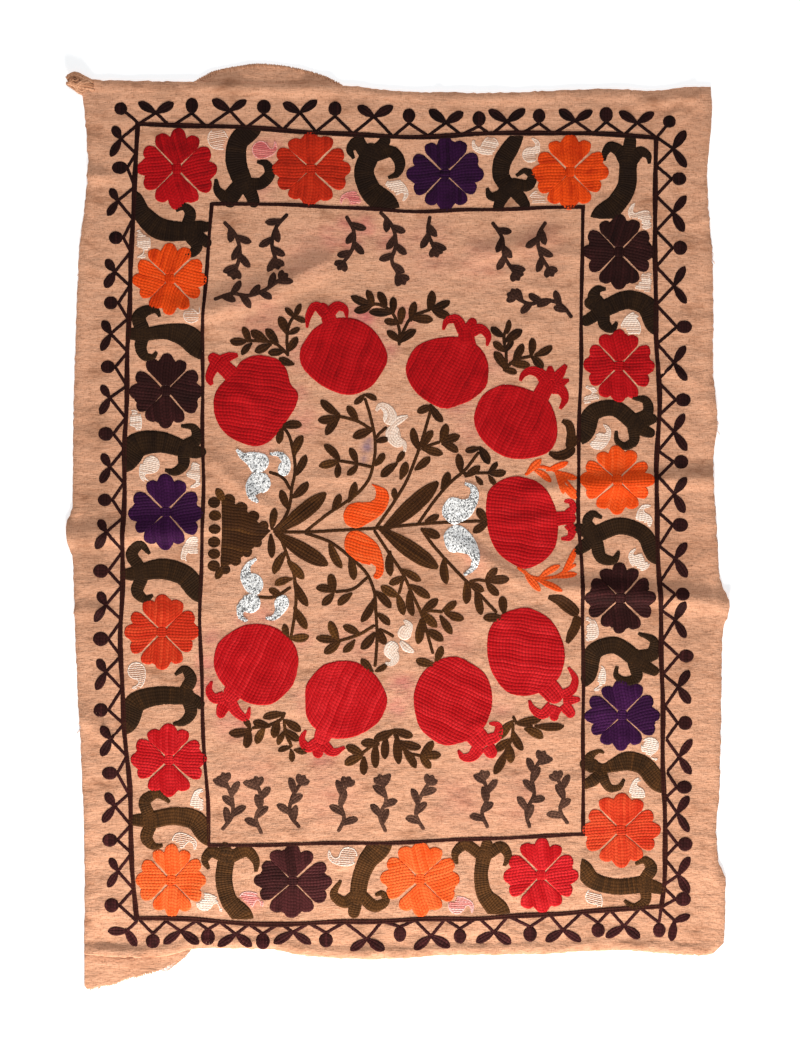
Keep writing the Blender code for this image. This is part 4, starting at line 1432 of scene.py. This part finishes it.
BROAD_LEAVES = (
    (281, 529, 326, 493, 16), (280, 536, 328, 565, 16), (386, 528, 438, 482, 17), (384, 531, 438, 568, 17),
)

bush = laid(MIDDLE_STEM, STEM_WIDTH, tone=0.35)
for x0, y0, x1, y1, width in SMALL_PAIRS:
    bush += leaf((x0, y0), (x1, y1), width, 0.4)
for x0, y0, x1, y1, width in BROAD_LEAVES:
    bush += leaf((x0, y0), (x1, y1), width, 0.5, rng.uniform(-0.03, 0.03))
    bush += laid(((x0, y0), (x0 * 0.2 + x1 * 0.8, y0 * 0.2 + y1 * 0.8)), 1.4, 1.15, 0.0)


def branch_rows(branch, leaf_width=8.8, tone=None):
    """The stems and leaves of one branch."""
    stems, leaves = branch
    shade = rng.uniform(0.2, 0.55) if tone is None else tone
    rows = []
    for stem in stems:
        rows += laid(stem, STEM_WIDTH, tone=shade)
    for x0, y0, x1, y1 in leaves:
        long = math.hypot(x1 - x0, y1 - y0)
        width = min(leaf_width, long * 0.5) * rng.uniform(0.94, 1.1)
        rows += leaf((x0, y0), (x1, y1), width, shade + rng.uniform(-0.15, 0.25), rng.uniform(-0.07, 0.07))
    return rows


for branch in BRANCHES:
    bush += branch_rows(branch)
stitch_down("vase_and_bush", vase + bush, thread["olive"])

# %% Sprigs round the pomegranates
GREEN_SPRIGS = (
    ((((289, 356), (276, 344), (256, 341), (246, 341)),
      ((288, 355), (287, 340), (288, 329), (291, 321), (294, 317))),
     ((246, 341, 230, 341), (250, 341, 243, 327), (266, 340, 251, 331), (251, 344, 242, 355),
      (270, 345, 255, 352), (277, 342, 266, 329), (284, 351, 268, 353), (293, 364, 279, 358),
      (287, 333, 279, 317), (294, 317, 285, 308), (296, 317, 301, 304), (294, 318, 306, 322),
      (289, 334, 300, 328), (288, 351, 297, 337))),
    ((((399, 346), (399, 328), (391, 312), (380, 305), (371, 304)),
      ((400, 341), (404, 330), (411, 318), (429, 310))),
     ((371, 304, 351, 296), (373, 305, 367, 290), (371, 306, 354, 311), (386, 307, 378, 292),
      (391, 313, 369, 312), (393, 313, 393, 297), (401, 323, 403, 307), (398, 323, 384, 321),
      (399, 341, 387, 331), (400, 342, 416, 330), (411, 320, 415, 302), (413, 319, 433, 320),
      (429, 310, 432, 291), (433, 308, 450, 301), (433, 310, 450, 316))),
    ((((506, 373), (506, 353), (504, 336), (508, 325)), ((506, 368), (514, 361), (532, 356))),
     ((503, 336, 491, 327), (507, 333, 509, 320), (506, 341, 522, 330), (504, 351, 493, 342),
      (506, 351, 513, 340), (504, 368, 494, 352), (504, 370, 517, 373), (514, 360, 523, 344),
      (511, 363, 530, 365), (531, 355, 532, 338), (536, 355, 552, 346), (532, 357, 543, 369))),
    ((((285, 712), (283, 717), (269, 725), (252, 728)), ((284, 719), (286, 733), (292, 747))),
     ((283, 714, 263, 718), (269, 726, 253, 722), (278, 721, 274, 738), (264, 729, 257, 744),
      (250, 728, 243, 718), (250, 730, 229, 733), (249, 731, 246, 748), (286, 721, 301, 731),
      (285, 730, 300, 740), (284, 732, 278, 745), (290, 747, 278, 751), (291, 750, 292, 762),
      (295, 750, 308, 751))),
    ((((393, 730), (378, 741), (360, 755)), ((393, 729), (397, 740), (407, 752), (421, 756))),
     ((393, 731, 374, 739), (386, 738, 385, 759), (376, 745, 376, 768), (378, 744, 361, 743),
      (362, 754, 346, 746), (361, 757, 345, 765), (364, 758, 364, 775), (397, 737, 399, 764),
      (395, 730, 413, 736), (401, 742, 421, 747), (404, 749, 416, 768), (422, 754, 433, 741),
      (423, 756, 441, 755), (421, 756, 431, 768))),
    ((((513, 716), (516, 722), (533, 726)), ((513, 723), (512, 737), (505, 752))),
     ((517, 723, 541, 719), (526, 729, 543, 738), (537, 726, 564, 726), (512, 722, 500, 739),
      (513, 732, 523, 750), (510, 740, 495, 751), (509, 746, 511, 763), (505, 753, 494, 774))),
)
HALF_LEAVES = (  # broad leaves that spring from the inner line, three in one place and two in another
    ((568, 449, 7), (570, 442, 9), (571, 433, 9), (568, 424, 8), (562, 421, 4)),
    ((574, 447, 8), (568, 453, 10), (558, 456, 9), (549, 453, 4)),
    ((579, 436, 7), (575, 441, 8), (570, 446, 7)),
    ((578, 615, 9), (569, 607, 13), (559, 600, 11), (548, 597, 4)),
    ((578, 616, 9), (575, 627, 10), (571, 635, 9), (567, 643, 4)),
)
ORANGE_SPRIGS = (
    ((((525, 475), (538, 467), (553, 470), (576, 493)),),
     ((528, 472, 541, 459), (535, 470, 551, 482), (548, 470, 568, 462), (556, 472, 563, 494),
      (558, 472, 577, 478), (563, 485, 577, 499))),
    ((((517, 567), (533, 577), (553, 577), (576, 564)),),
     ((525, 572, 540, 591), (538, 580, 562, 591), (540, 577, 560, 565), (556, 577, 577, 574),
      (563, 572, 575, 548))),
)

sprigs = []
for sprig in GREEN_SPRIGS:
    sprigs += branch_rows(sprig, 8.8, 0.3)
for stroke in HALF_LEAVES:
    sprigs += band(stroke, True, False, tone=0.35)
stitch_down("green_sprigs", sprigs, thread["olive"])

orange = []
for sprig in ORANGE_SPRIGS:
    orange += branch_rows(sprig, 7.0, 0.6)
PAISLEYS = (  # the outline of each, and the slant of its rows
    (((343.5, 514.6), (347.5, 506), (357.5, 502.2), (368, 502.5), (374.5, 499), (376, 492), (374.7, 487),
      (369.7, 484), (379, 485.5), (386.5, 490), (389, 497), (387, 507), (381.6, 514.6), (369.7, 522.5),
      (355, 528.3), (346.5, 525)),
     12),
    (((345, 539), (349, 532.5), (356, 530.7), (363, 532.4), (371, 537.5), (378, 545), (382, 555), (384, 567),
      (382.5, 575), (377, 579), (373, 577.5), (376, 571), (374.7, 565), (368, 561.6), (360, 562),
      (352.9, 557), (345.5, 551)),
     15),
)
for points, slant in PAISLEYS:
    orange += filled(smooth_path(points, closed=True), slant, 2.9, 0.9, 0.6, wave=0.6)
stitch_down("orange_sprigs", orange, thread["orange"])

# %% [markdown]
# The border's curls in cream are sewn loosely: a thin drawn outline and fine rows in it, with cotton
# showing between them. So each is filled as any shape and its rows are then made narrower. The glittering
# motifs beside the vase are metal strip. A smooth silver surface would look like one piece of tin; many
# small flat scales, each tilted its own way, catch the light one by one as the real ones do.

# %% Cream curls
# A curl is a comma: a round head, and a tail that leaves it on one side (hand) and bends round to its tip
CURLS = (  # x, y and radius of the head, x and y of the tip, hand and thread
    (218, 139, 10, 233, 135, -1, "worn"), (261, 150, 8.5, 275, 142, -1, "pink"),
    (355, 198.5, 6.5, 341, 203.5, -1, "pink"), (394, 187.5, 8.5, 403, 201, 1, "cream"),
    (490, 146, 8.5, 473, 141, 1, "cream"), (530, 155, 7.5, 532, 139, -1, "cream"),
    (538, 200, 9, 526, 193, 1, "worn"), (140.5, 239, 9, 138, 258, 1, "cream"),
    (191, 316, 7, 200, 308, -1, "worn"), (133, 418.5, 8, 131, 436, 1, "cream"),
    (150.5, 465, 9, 149.5, 482, -1, "cream"), (193.5, 471, 8, 191, 487, 1, "cream"),
    (194.5, 545.5, 8.5, 188, 565, -1, "cream"), (136.5, 671, 8.5, 133, 688, 1, "worn"),
    (199, 806, 8, 205, 790, 1, "cream"), (180, 840.5, 7.5, 195, 849, 1, "worn"),
    (205, 902, 8.5, 221, 911, 1, "cream"), (247, 900.5, 8.5, 262, 906, 1, "pink"),
    (348, 856, 9, 329, 851, 1, "worn"), (457, 905, 8.5, 472, 912, 1, "pink"),
    (593, 896.5, 7.5, 594, 910, 1, "worn"), (650, 746, 8.5, 657, 759, -1, "cream"),
    (637, 794, 7.5, 643, 779, 1, "cream"), (597, 673, 8, 594, 690, 1, "cream"),
    (590, 633, 8, 584, 619, -1, "cream"), (641, 562, 8.5, 635, 549, 1, "cream"),
    (644, 521, 8, 650, 506, 1, "cream"), (598, 441, 8.5, 604, 425, -1, "cream"),
    (589.5, 404, 8.5, 586, 387, -1, "cream"), (631, 328, 10, 643, 318, 1, "cream"),
    (646, 288, 10, 656, 277, 1, "cream"), (644, 220, 9.5, 634, 204, 1, "cream"),
)
# A curl's outline from its head's middle: how far towards the tip, and how far to the tail's side. Both are
# in radii of the head, but where the last number is 1 the first is a share of the way to the tip.
CURL_SHAPE = (
    (0, -1, 0), (-0.72, -0.7, 0), (-1, 0, 0), (-0.72, 0.74, 0), (0, 1.08, 0), (0.46, 1.16, 1),
    (0.8, 0.98, 1), (0.98, 0.5, 1), (1, -0.1, 1), (0.86, 0.3, 1), (0.64, 0.6, 1), (0.98, 0.4, 0),
    (0.92, -0.1, 0), (0.66, -0.72, 0),
)
CURL_PITCH = 1.9
CURL_ROWS = {"cream": 0.86, "pink": 0.7, "worn": 0.4}  # a row's width, as a share of a covering row's


sewn = np.zeros((1057, 800), dtype=bool)  # where thread lies already, for each millimetre of the chart
for row in line_rows + edging + rosettes + scrolls:
    x, y = np.rint(row.lines).astype(int).reshape(-1, 2).T
    for right in (-1, 0, 1):
        for down in (-1, 0, 1):
            sewn[y + down, x + right] = True


def bare_parts(row):
    """The parts of a row that lie on bare cotton."""
    x, y = np.rint(row.lines[:, 2]).astype(int).T
    bare = ~sewn[y, x]
    cuts = np.flatnonzero(np.diff(bare)) + 1
    parts = zip(np.split(row.lines, cuts), np.split(bare, cuts))
    return [row._replace(lines=part) for part, is_bare in parts if is_bare[0] and len(part) > 2]


def curl_rows(x, y, radius, tip_x, tip_y, hand, cover):
    """Loose rows in a comma, and the thin line that was drawn round it."""
    middle = np.array((x, y), dtype=float)
    way = np.array((tip_x, tip_y)) - middle
    long = np.hypot(*way)
    way /= long
    aside = np.array((way[1], -way[0])) * hand
    corners = [
        middle + way * ahead * (long if in_tail else radius) + aside * to_side * radius
        for ahead, to_side, in_tail in CURL_SHAPE
    ]
    outline = smooth_path(corners, closed=True, step=1.0)
    rows = filled(outline, rng.uniform(-14, 14), CURL_PITCH, 0.9, None, wave=0.4)
    loose = []
    for row in rows:
        core = row.lines[:, 2:3]
        loose.append(row._replace(lines=core + (row.lines - core) * cover))
    drawn = laid(np.concatenate((outline[::3], outline[:1])), 1.1, 1.0, 1.0)
    return [part for row in loose + drawn for part in bare_parts(row)]


for colours in (("cream", "worn"), ("pink",)):
    rows = [row for *form, own in CURLS if own in colours for row in curl_rows(*form, CURL_ROWS[own])]
    stitch_down(colours[0] + "_curls", rows, thread[colours[0]])

FIELD_CURLS = (  # the two cream buds in the bush: strokes with widths
    ((386, 424, 12), (390, 417, 14), (387, 409, 10), (380, 406, 6), (376, 411, 2.5)),
    ((391, 427, 4), (399, 420, 8), (408, 416, 2.5)),
    ((396, 426, 12), (393, 434, 15), (398, 442, 12), (404, 444, 6), (405, 452, 2.5)),
    ((403, 640, 12), (405, 632, 14), (409, 626, 8), (404, 620, 2.5)),
    ((400, 641, 4), (407, 648, 8), (414, 652, 2.5)),
    ((397, 643, 12), (391, 650, 14), (395, 659, 9), (391, 664, 5), (385, 663, 2.5)),
)
field_curls = [row for stroke in FIELD_CURLS for row in band(stroke, True, False, 2.4, 0.6)]
stitch_down("field_curls", field_curls, thread["cream"])

# %% Silver scales
SILVER = (  # strokes with widths, as the metal strip was laid
    ((264, 471, 15), (260, 465, 22), (251, 459, 15), (243, 456, 7), (237, 450, 2)),
    ((266, 474, 12), (261, 481, 23), (254, 488, 18), (252, 496, 8), (258, 502, 2)),
    ((285, 476, 8), (284, 470, 13), (286, 462, 9), (281, 455, 6), (270, 454, 2)),
    ((258, 594, 10), (254, 585, 20), (246, 575, 12), (248, 566, 6), (256, 559, 2)),
    ((257, 595, 10), (251, 603, 20), (241, 609, 9), (241, 617, 5), (247, 621, 2)),
    ((284, 595, 8), (282, 603, 15), (279, 612, 9), (273, 618, 5), (266, 618, 2)),
    ((442, 512, 19), (452, 511, 27), (465, 508, 20), (472, 502, 11), (474.5, 493, 8), (472, 487, 5),
     (465, 483.5, 2)),
    ((444, 535, 17), (454, 538, 28), (466, 544, 21), (473.5, 552, 12), (475.5, 561, 8), (472, 569, 5),
     (464, 575, 2)),
)


def make_metal(name, bright, dull):
    """Beaten metal strip: most scales are bright and some have gone dull."""
    metal, tree, shader = new_finish(name)
    tarnish = grain(tree, (900, 900, 900))
    worn = maths(tree, "MULTIPLY_ADD", tarnish, 0.35, stored(tree, "tone"))
    set_sockets(tree, shader, {
        "Base Color": blended(tree, ramp(tree, worn, 0.48, 0.62), dull, bright),
        "Normal": raised(tree, tarnish, 0.3, 0.2 * MM),
        "Roughness": 0.3,
        "Specular IOR Level": 1.0,
    })
    return metal


silver_strip = make_metal("silver_strip", dye(252, 250, 247), dye(98, 96, 95))
silver_base = [row for stroke in SILVER for row in band(stroke, True, False, 3.0, 0.8, 0.7)]
stitch_down("silver_bed", silver_base, silver_strip)

SCALE_SPACING = 1.3  # millimetres between scales
SCALE_HALF = 0.85
SCALE_TILT = 0.45  # steepest slope of a scale
SCALE_RAISED = 0.75 * MM  # above the cotton
SCALE_THICK = 0.35 * MM


def scales_on(rows):
    """The middles of scales, strewn over rows."""
    places = []
    for row in rows:
        run = lengths_along(row.lines[:, 2])
        for at in np.arange(0.4, run[-1], SCALE_SPACING * 0.75):
            share = rng.uniform(0.1, 0.9)
            line = row.lines[:, 0] * (1 - share) + row.lines[:, 4] * share
            places.append(path_at(at, run, line))
    return np.array(places)


middles = scales_on(silver_base)
turns = rng.uniform(0, math.pi, len(middles))
tilt = rng.uniform(-SCALE_TILT, SCALE_TILT, (len(middles), 2))
quarter = np.array((0, 0.5, 1, 1.5)) * math.pi
spokes = np.stack((np.cos(turns[:, None] + quarter), np.sin(turns[:, None] + quarter)), axis=-1)
spokes *= (SCALE_HALF * rng.uniform(0.6, 1.15, (len(middles), 4)))[..., None]
flat_places = on_cloth(middles[:, None] + spokes)
lifted = cloth_top(flat_places[..., 0], flat_places[..., 1]) + SCALE_RAISED
lifted += (spokes * tilt[:, None]).sum(-1) * MM
upper = np.dstack((flat_places, lifted))
lower = upper - (0, 0, SCALE_THICK)
corners = np.concatenate((upper, lower), axis=1).reshape(-1, 3)
scale_faces = ((0, 3, 2, 1), (4, 5, 6, 7), (0, 1, 5, 4), (1, 2, 6, 5), (2, 3, 7, 6), (3, 0, 4, 7))
faces = (np.arange(len(middles))[:, None, None] * 8 + np.array(scale_faces)).reshape(-1, 4)
silver_scales = mesh_piece("silver_scales", corners, faces, silver_strip)
silver_scales.data.shade_flat()
give_numbers(silver_scales, "tone", np.repeat(rng.uniform(0, 1, len(middles)), 8))
print(len(middles), "silver scales")

# %% [markdown]
# Two things show behind the sheet's own edges. The hem has come undone at the top, so its inner flap with
# an overcast rim stands out behind, and at the bottom left the cloth goes on below its last crease as a
# torn, unhemmed corner. Both are thin closed sheets like the big one, each between an upper and a lower
# line.

# %% The undone hem and the torn corner
FLAP_THICK = 1.1 * MM

FLAP_RIM = np.array((  # x, y
    (-204, 444.5), (-182, 455.5), (-160, 460), (-139.5, 462.5), (-118, 461), (-92, 456), (-74, 450.5),
    (-55, 441.5),
))
TORN_RIM = np.array((
    (-313, -459.5), (-309.5, -462.5), (-300, -461), (-281, -457), (-270, -452), (-258, -449.5),
    (-241, -444.5), (-230, -440), (-222, -436), (-207, -425),
))


def flap_under(x, y):
    """Height of a flap's underside: it lies on the table, with low waves."""
    return 0.25 * MM + 0.5 * waves(x * 1.3, y * 1.3)


def flap_between(name, rim, back, columns, rows, rough):
    """A thin sheet from a level line under the big sheet (back) out to a ragged rim."""
    x = np.linspace(rim[0, 0], rim[-1, 0], columns) * MM
    far = smooth_line(rim, x) + rng.normal(0, rough * MM, columns)
    share = np.linspace(0, 1, rows)[None]
    y = back * MM * (1 - share) + far[:, None] * share
    plan = np.dstack((np.broadcast_to(x[:, None], y.shape), y))
    under = flap_under(plan[..., 0], plan[..., 1])
    corners, faces = closed_sheet(plan, under, np.full(under.shape, FLAP_THICK))
    if far.mean() < back * MM:
        faces = faces[:, ::-1]
    flap = mesh_piece(name, corners, faces, cotton)
    give_numbers(flap, "soil_and_fold_shade", np.full(len(corners), 0.1))
    return flap


undone_hem = flap_between("undone_hem", FLAP_RIM, 436.0, 120, 14, 0.3)
torn_corner = flap_between("torn_corner", TORN_RIM, -420.0, 110, 20, 0.7)

# %% Loose ends of cotton thread
def on_table(x, y):
    """Loose thread beside the cloth lies on the table."""
    return np.full(np.shape(x), 0.5 * MM)


def on_flap(x, y):
    """The top of a flap."""
    return flap_under(x, y) + FLAP_THICK


def chart_of(x, y):
    """A place in millimetres from the cloth's middle, as a chart place."""
    return x + CHART_MIDDLE[0], CHART_MIDDLE[1] - y


overcast = []
for x in np.arange(-200, -58, 2.1):
    y = smooth_line(FLAP_RIM, np.array([x * MM]))[0] / MM
    start = chart_of(x + rng.normal(0, 0.3), y + 0.6)
    overcast += laid((start, chart_of(x + rng.uniform(0.6, 2.2), y - rng.uniform(2.4, 4.2))), 1.1, 1.1)
stitch_down("overcast_rim", overcast, thread["cotton"], on_flap)

fringe = []
for x in np.arange(-308, -212, 1.6):
    y = smooth_line(TORN_RIM, np.array([x * MM]))[0] / MM
    start = np.array(chart_of(x, y + 1.5))
    end = start + (rng.normal(0.5, 1.2), rng.uniform(1.0, 4.0))
    fringe += laid((start, (start + end) / 2 + rng.normal(0, 0.5, 2), end), 0.6, 0.45)
for number in range(7):
    start = np.array((158.0 + 3 * number, 968.0 - 2.3 * number))
    fringe += laid((start, start + (8, 3.5), start + (14, -1 - number * 0.4), start + (19, -8)), 0.55, 0.45)
for x, y in ((713, 410), (714, 421), (717, 592), (79, 600), (83, 720), (709, 250), (83, 262)):
    way = 1 if x > 400 else -1
    fringe += laid(((x, y), (x + way * 4, y + 3), (x + way * 3, y + 9), (x + way * 6, y + 14)), 0.5, 0.4)
stitch_down("loose_threads", fringe, thread["cotton"], on_table)

# %% The twisted corner
KNOT = (  # the folds of the twist, from the sheet outwards
    ((94, 84, 6), (84, 80, 7), (76, 75, 6), (69, 78, 5)),
    ((94, 88, 6), (84, 87, 7), (76, 86, 6), (69, 82, 5)),
    ((90, 81, 5), (82, 84, 6), (77, 90, 5), (83, 94, 3)),
    ((88, 80, 5), (80, 76, 5), (73, 75, 5), (67, 79, 4)),
    ((88, 90, 5), (80, 91, 5), (73, 87, 5), (67, 84, 4)),
    ((80, 79, 4), (76, 82, 4), (72, 80, 4), (70, 84, 3)),
)
knot = []
for fold in KNOT:
    for strand in (-0.3, 0.0, 0.3):
        wander = rng.normal(0, 0.5, (len(fold), 2))
        path = [(x + wx, y + wy + strand * width) for (x, y, width), (wx, wy) in zip(fold, wander)]
        knot += laid(path, fold[1][2] * 0.42, rng.uniform(2.0, 3.4))
stitch_down("corner_knot", knot, thread["cotton"])

# %% [markdown]
# Plain leafy sprays in brown thread, a common filling of such cloths, stand along the top and the bottom of
# the field: a wavy stem with leaves on both sides by turns, and a bud of three petals at its end. The
# leaves are placed by a loop along the stem, so a spray needs only its stem.

# %% Brown sprays
SPRAY_STEM = 4.4
SPRAY_LEAF_LONG = 16.5
SPRAY_LEAF_WIDE = 7.6
SPRAY_LEAF_EVERY = 10.0
SPRAY_LEAN = 0.75  # the leaf's slant away from the stem, in radians

SPRAYS = (  # the stem of each, from its foot to its bud
    ((224, 222), (236, 236), (240, 254), (236, 270)),
    ((288, 214), (276, 228), (272, 244), (276, 260)),
    ((214, 300), (232, 294), (250, 296), (266, 290), (280, 280)),
    ((346, 216), (354, 232), (352, 250), (344, 262)),
    ((380, 212), (392, 226), (396, 244), (392, 262), (400, 276)),
    ((430, 216), (428, 232), (434, 248)),
    ((492, 222), (502, 238), (504, 256), (514, 272)),
    ((546, 222), (538, 236), (540, 254), (548, 268)),
    ((572, 318), (562, 306), (546, 300), (530, 304), (516, 298)),
    ((222, 830), (232, 816), (232, 798), (226, 782)),
    ((262, 834), (256, 818), (262, 802), (258, 786)),
    ((300, 828), (290, 814), (292, 798), (300, 784)),
    ((338, 832), (344, 818), (340, 802), (346, 786)),
    ((386, 832), (380, 816), (386, 800), (382, 784)),
    ((424, 830), (416, 814), (420, 798), (428, 784)),
    ((488, 828), (482, 812), (488, 796), (484, 780)),
    ((530, 828), (526, 812), (534, 794), (532, 776), (540, 760)),
    ((568, 824), (560, 810), (564, 794), (558, 780)),
)


def turned(way, angle):
    """A direction turned by an angle in radians."""
    c, s = math.cos(angle), math.sin(angle)
    return np.array((way[0] * c - way[1] * s, way[0] * s + way[1] * c))


def spray_rows(stem):
    """A stem, its leaves by turns on both sides, and its bud."""
    path = smooth_path(stem)
    run = lengths_along(path)
    ways = np.gradient(path, axis=0)
    rows = laid(stem, SPRAY_STEM, tone=0.45)
    hand = rng.choice((-1, 1))
    for at in np.arange(SPRAY_LEAF_EVERY * 0.7, run[-1] - SPRAY_LEAF_EVERY * 0.4, SPRAY_LEAF_EVERY):
        k = int(np.searchsorted(run, at))
        way = turned(ways[k] / np.hypot(*ways[k]), hand * SPRAY_LEAN * rng.uniform(0.85, 1.15))
        tip = path[k] + way * SPRAY_LEAF_LONG * rng.uniform(0.85, 1.05)
        rows += leaf(path[k], tip, SPRAY_LEAF_WIDE, 0.45, hand * -0.06)
        hand = -hand
    end = ways[-1] / np.hypot(*ways[-1])
    for angle in (-0.7, 0.0, 0.7):
        tip = path[-1] + turned(end, angle) * SPRAY_LEAF_LONG * 0.62
        rows += leaf(path[-1], tip, SPRAY_LEAF_WIDE * 0.9, 0.5)
    return rows


sprays = [row for stem in SPRAYS for row in spray_rows(stem)]
stitch_down("brown_sprays", sprays, thread["brown"])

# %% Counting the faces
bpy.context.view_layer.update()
meshes = [piece.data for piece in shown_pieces() if piece.type == "MESH"]
faces = sum(len(mesh.loop_triangles) or len(mesh.polygons) for mesh in meshes)
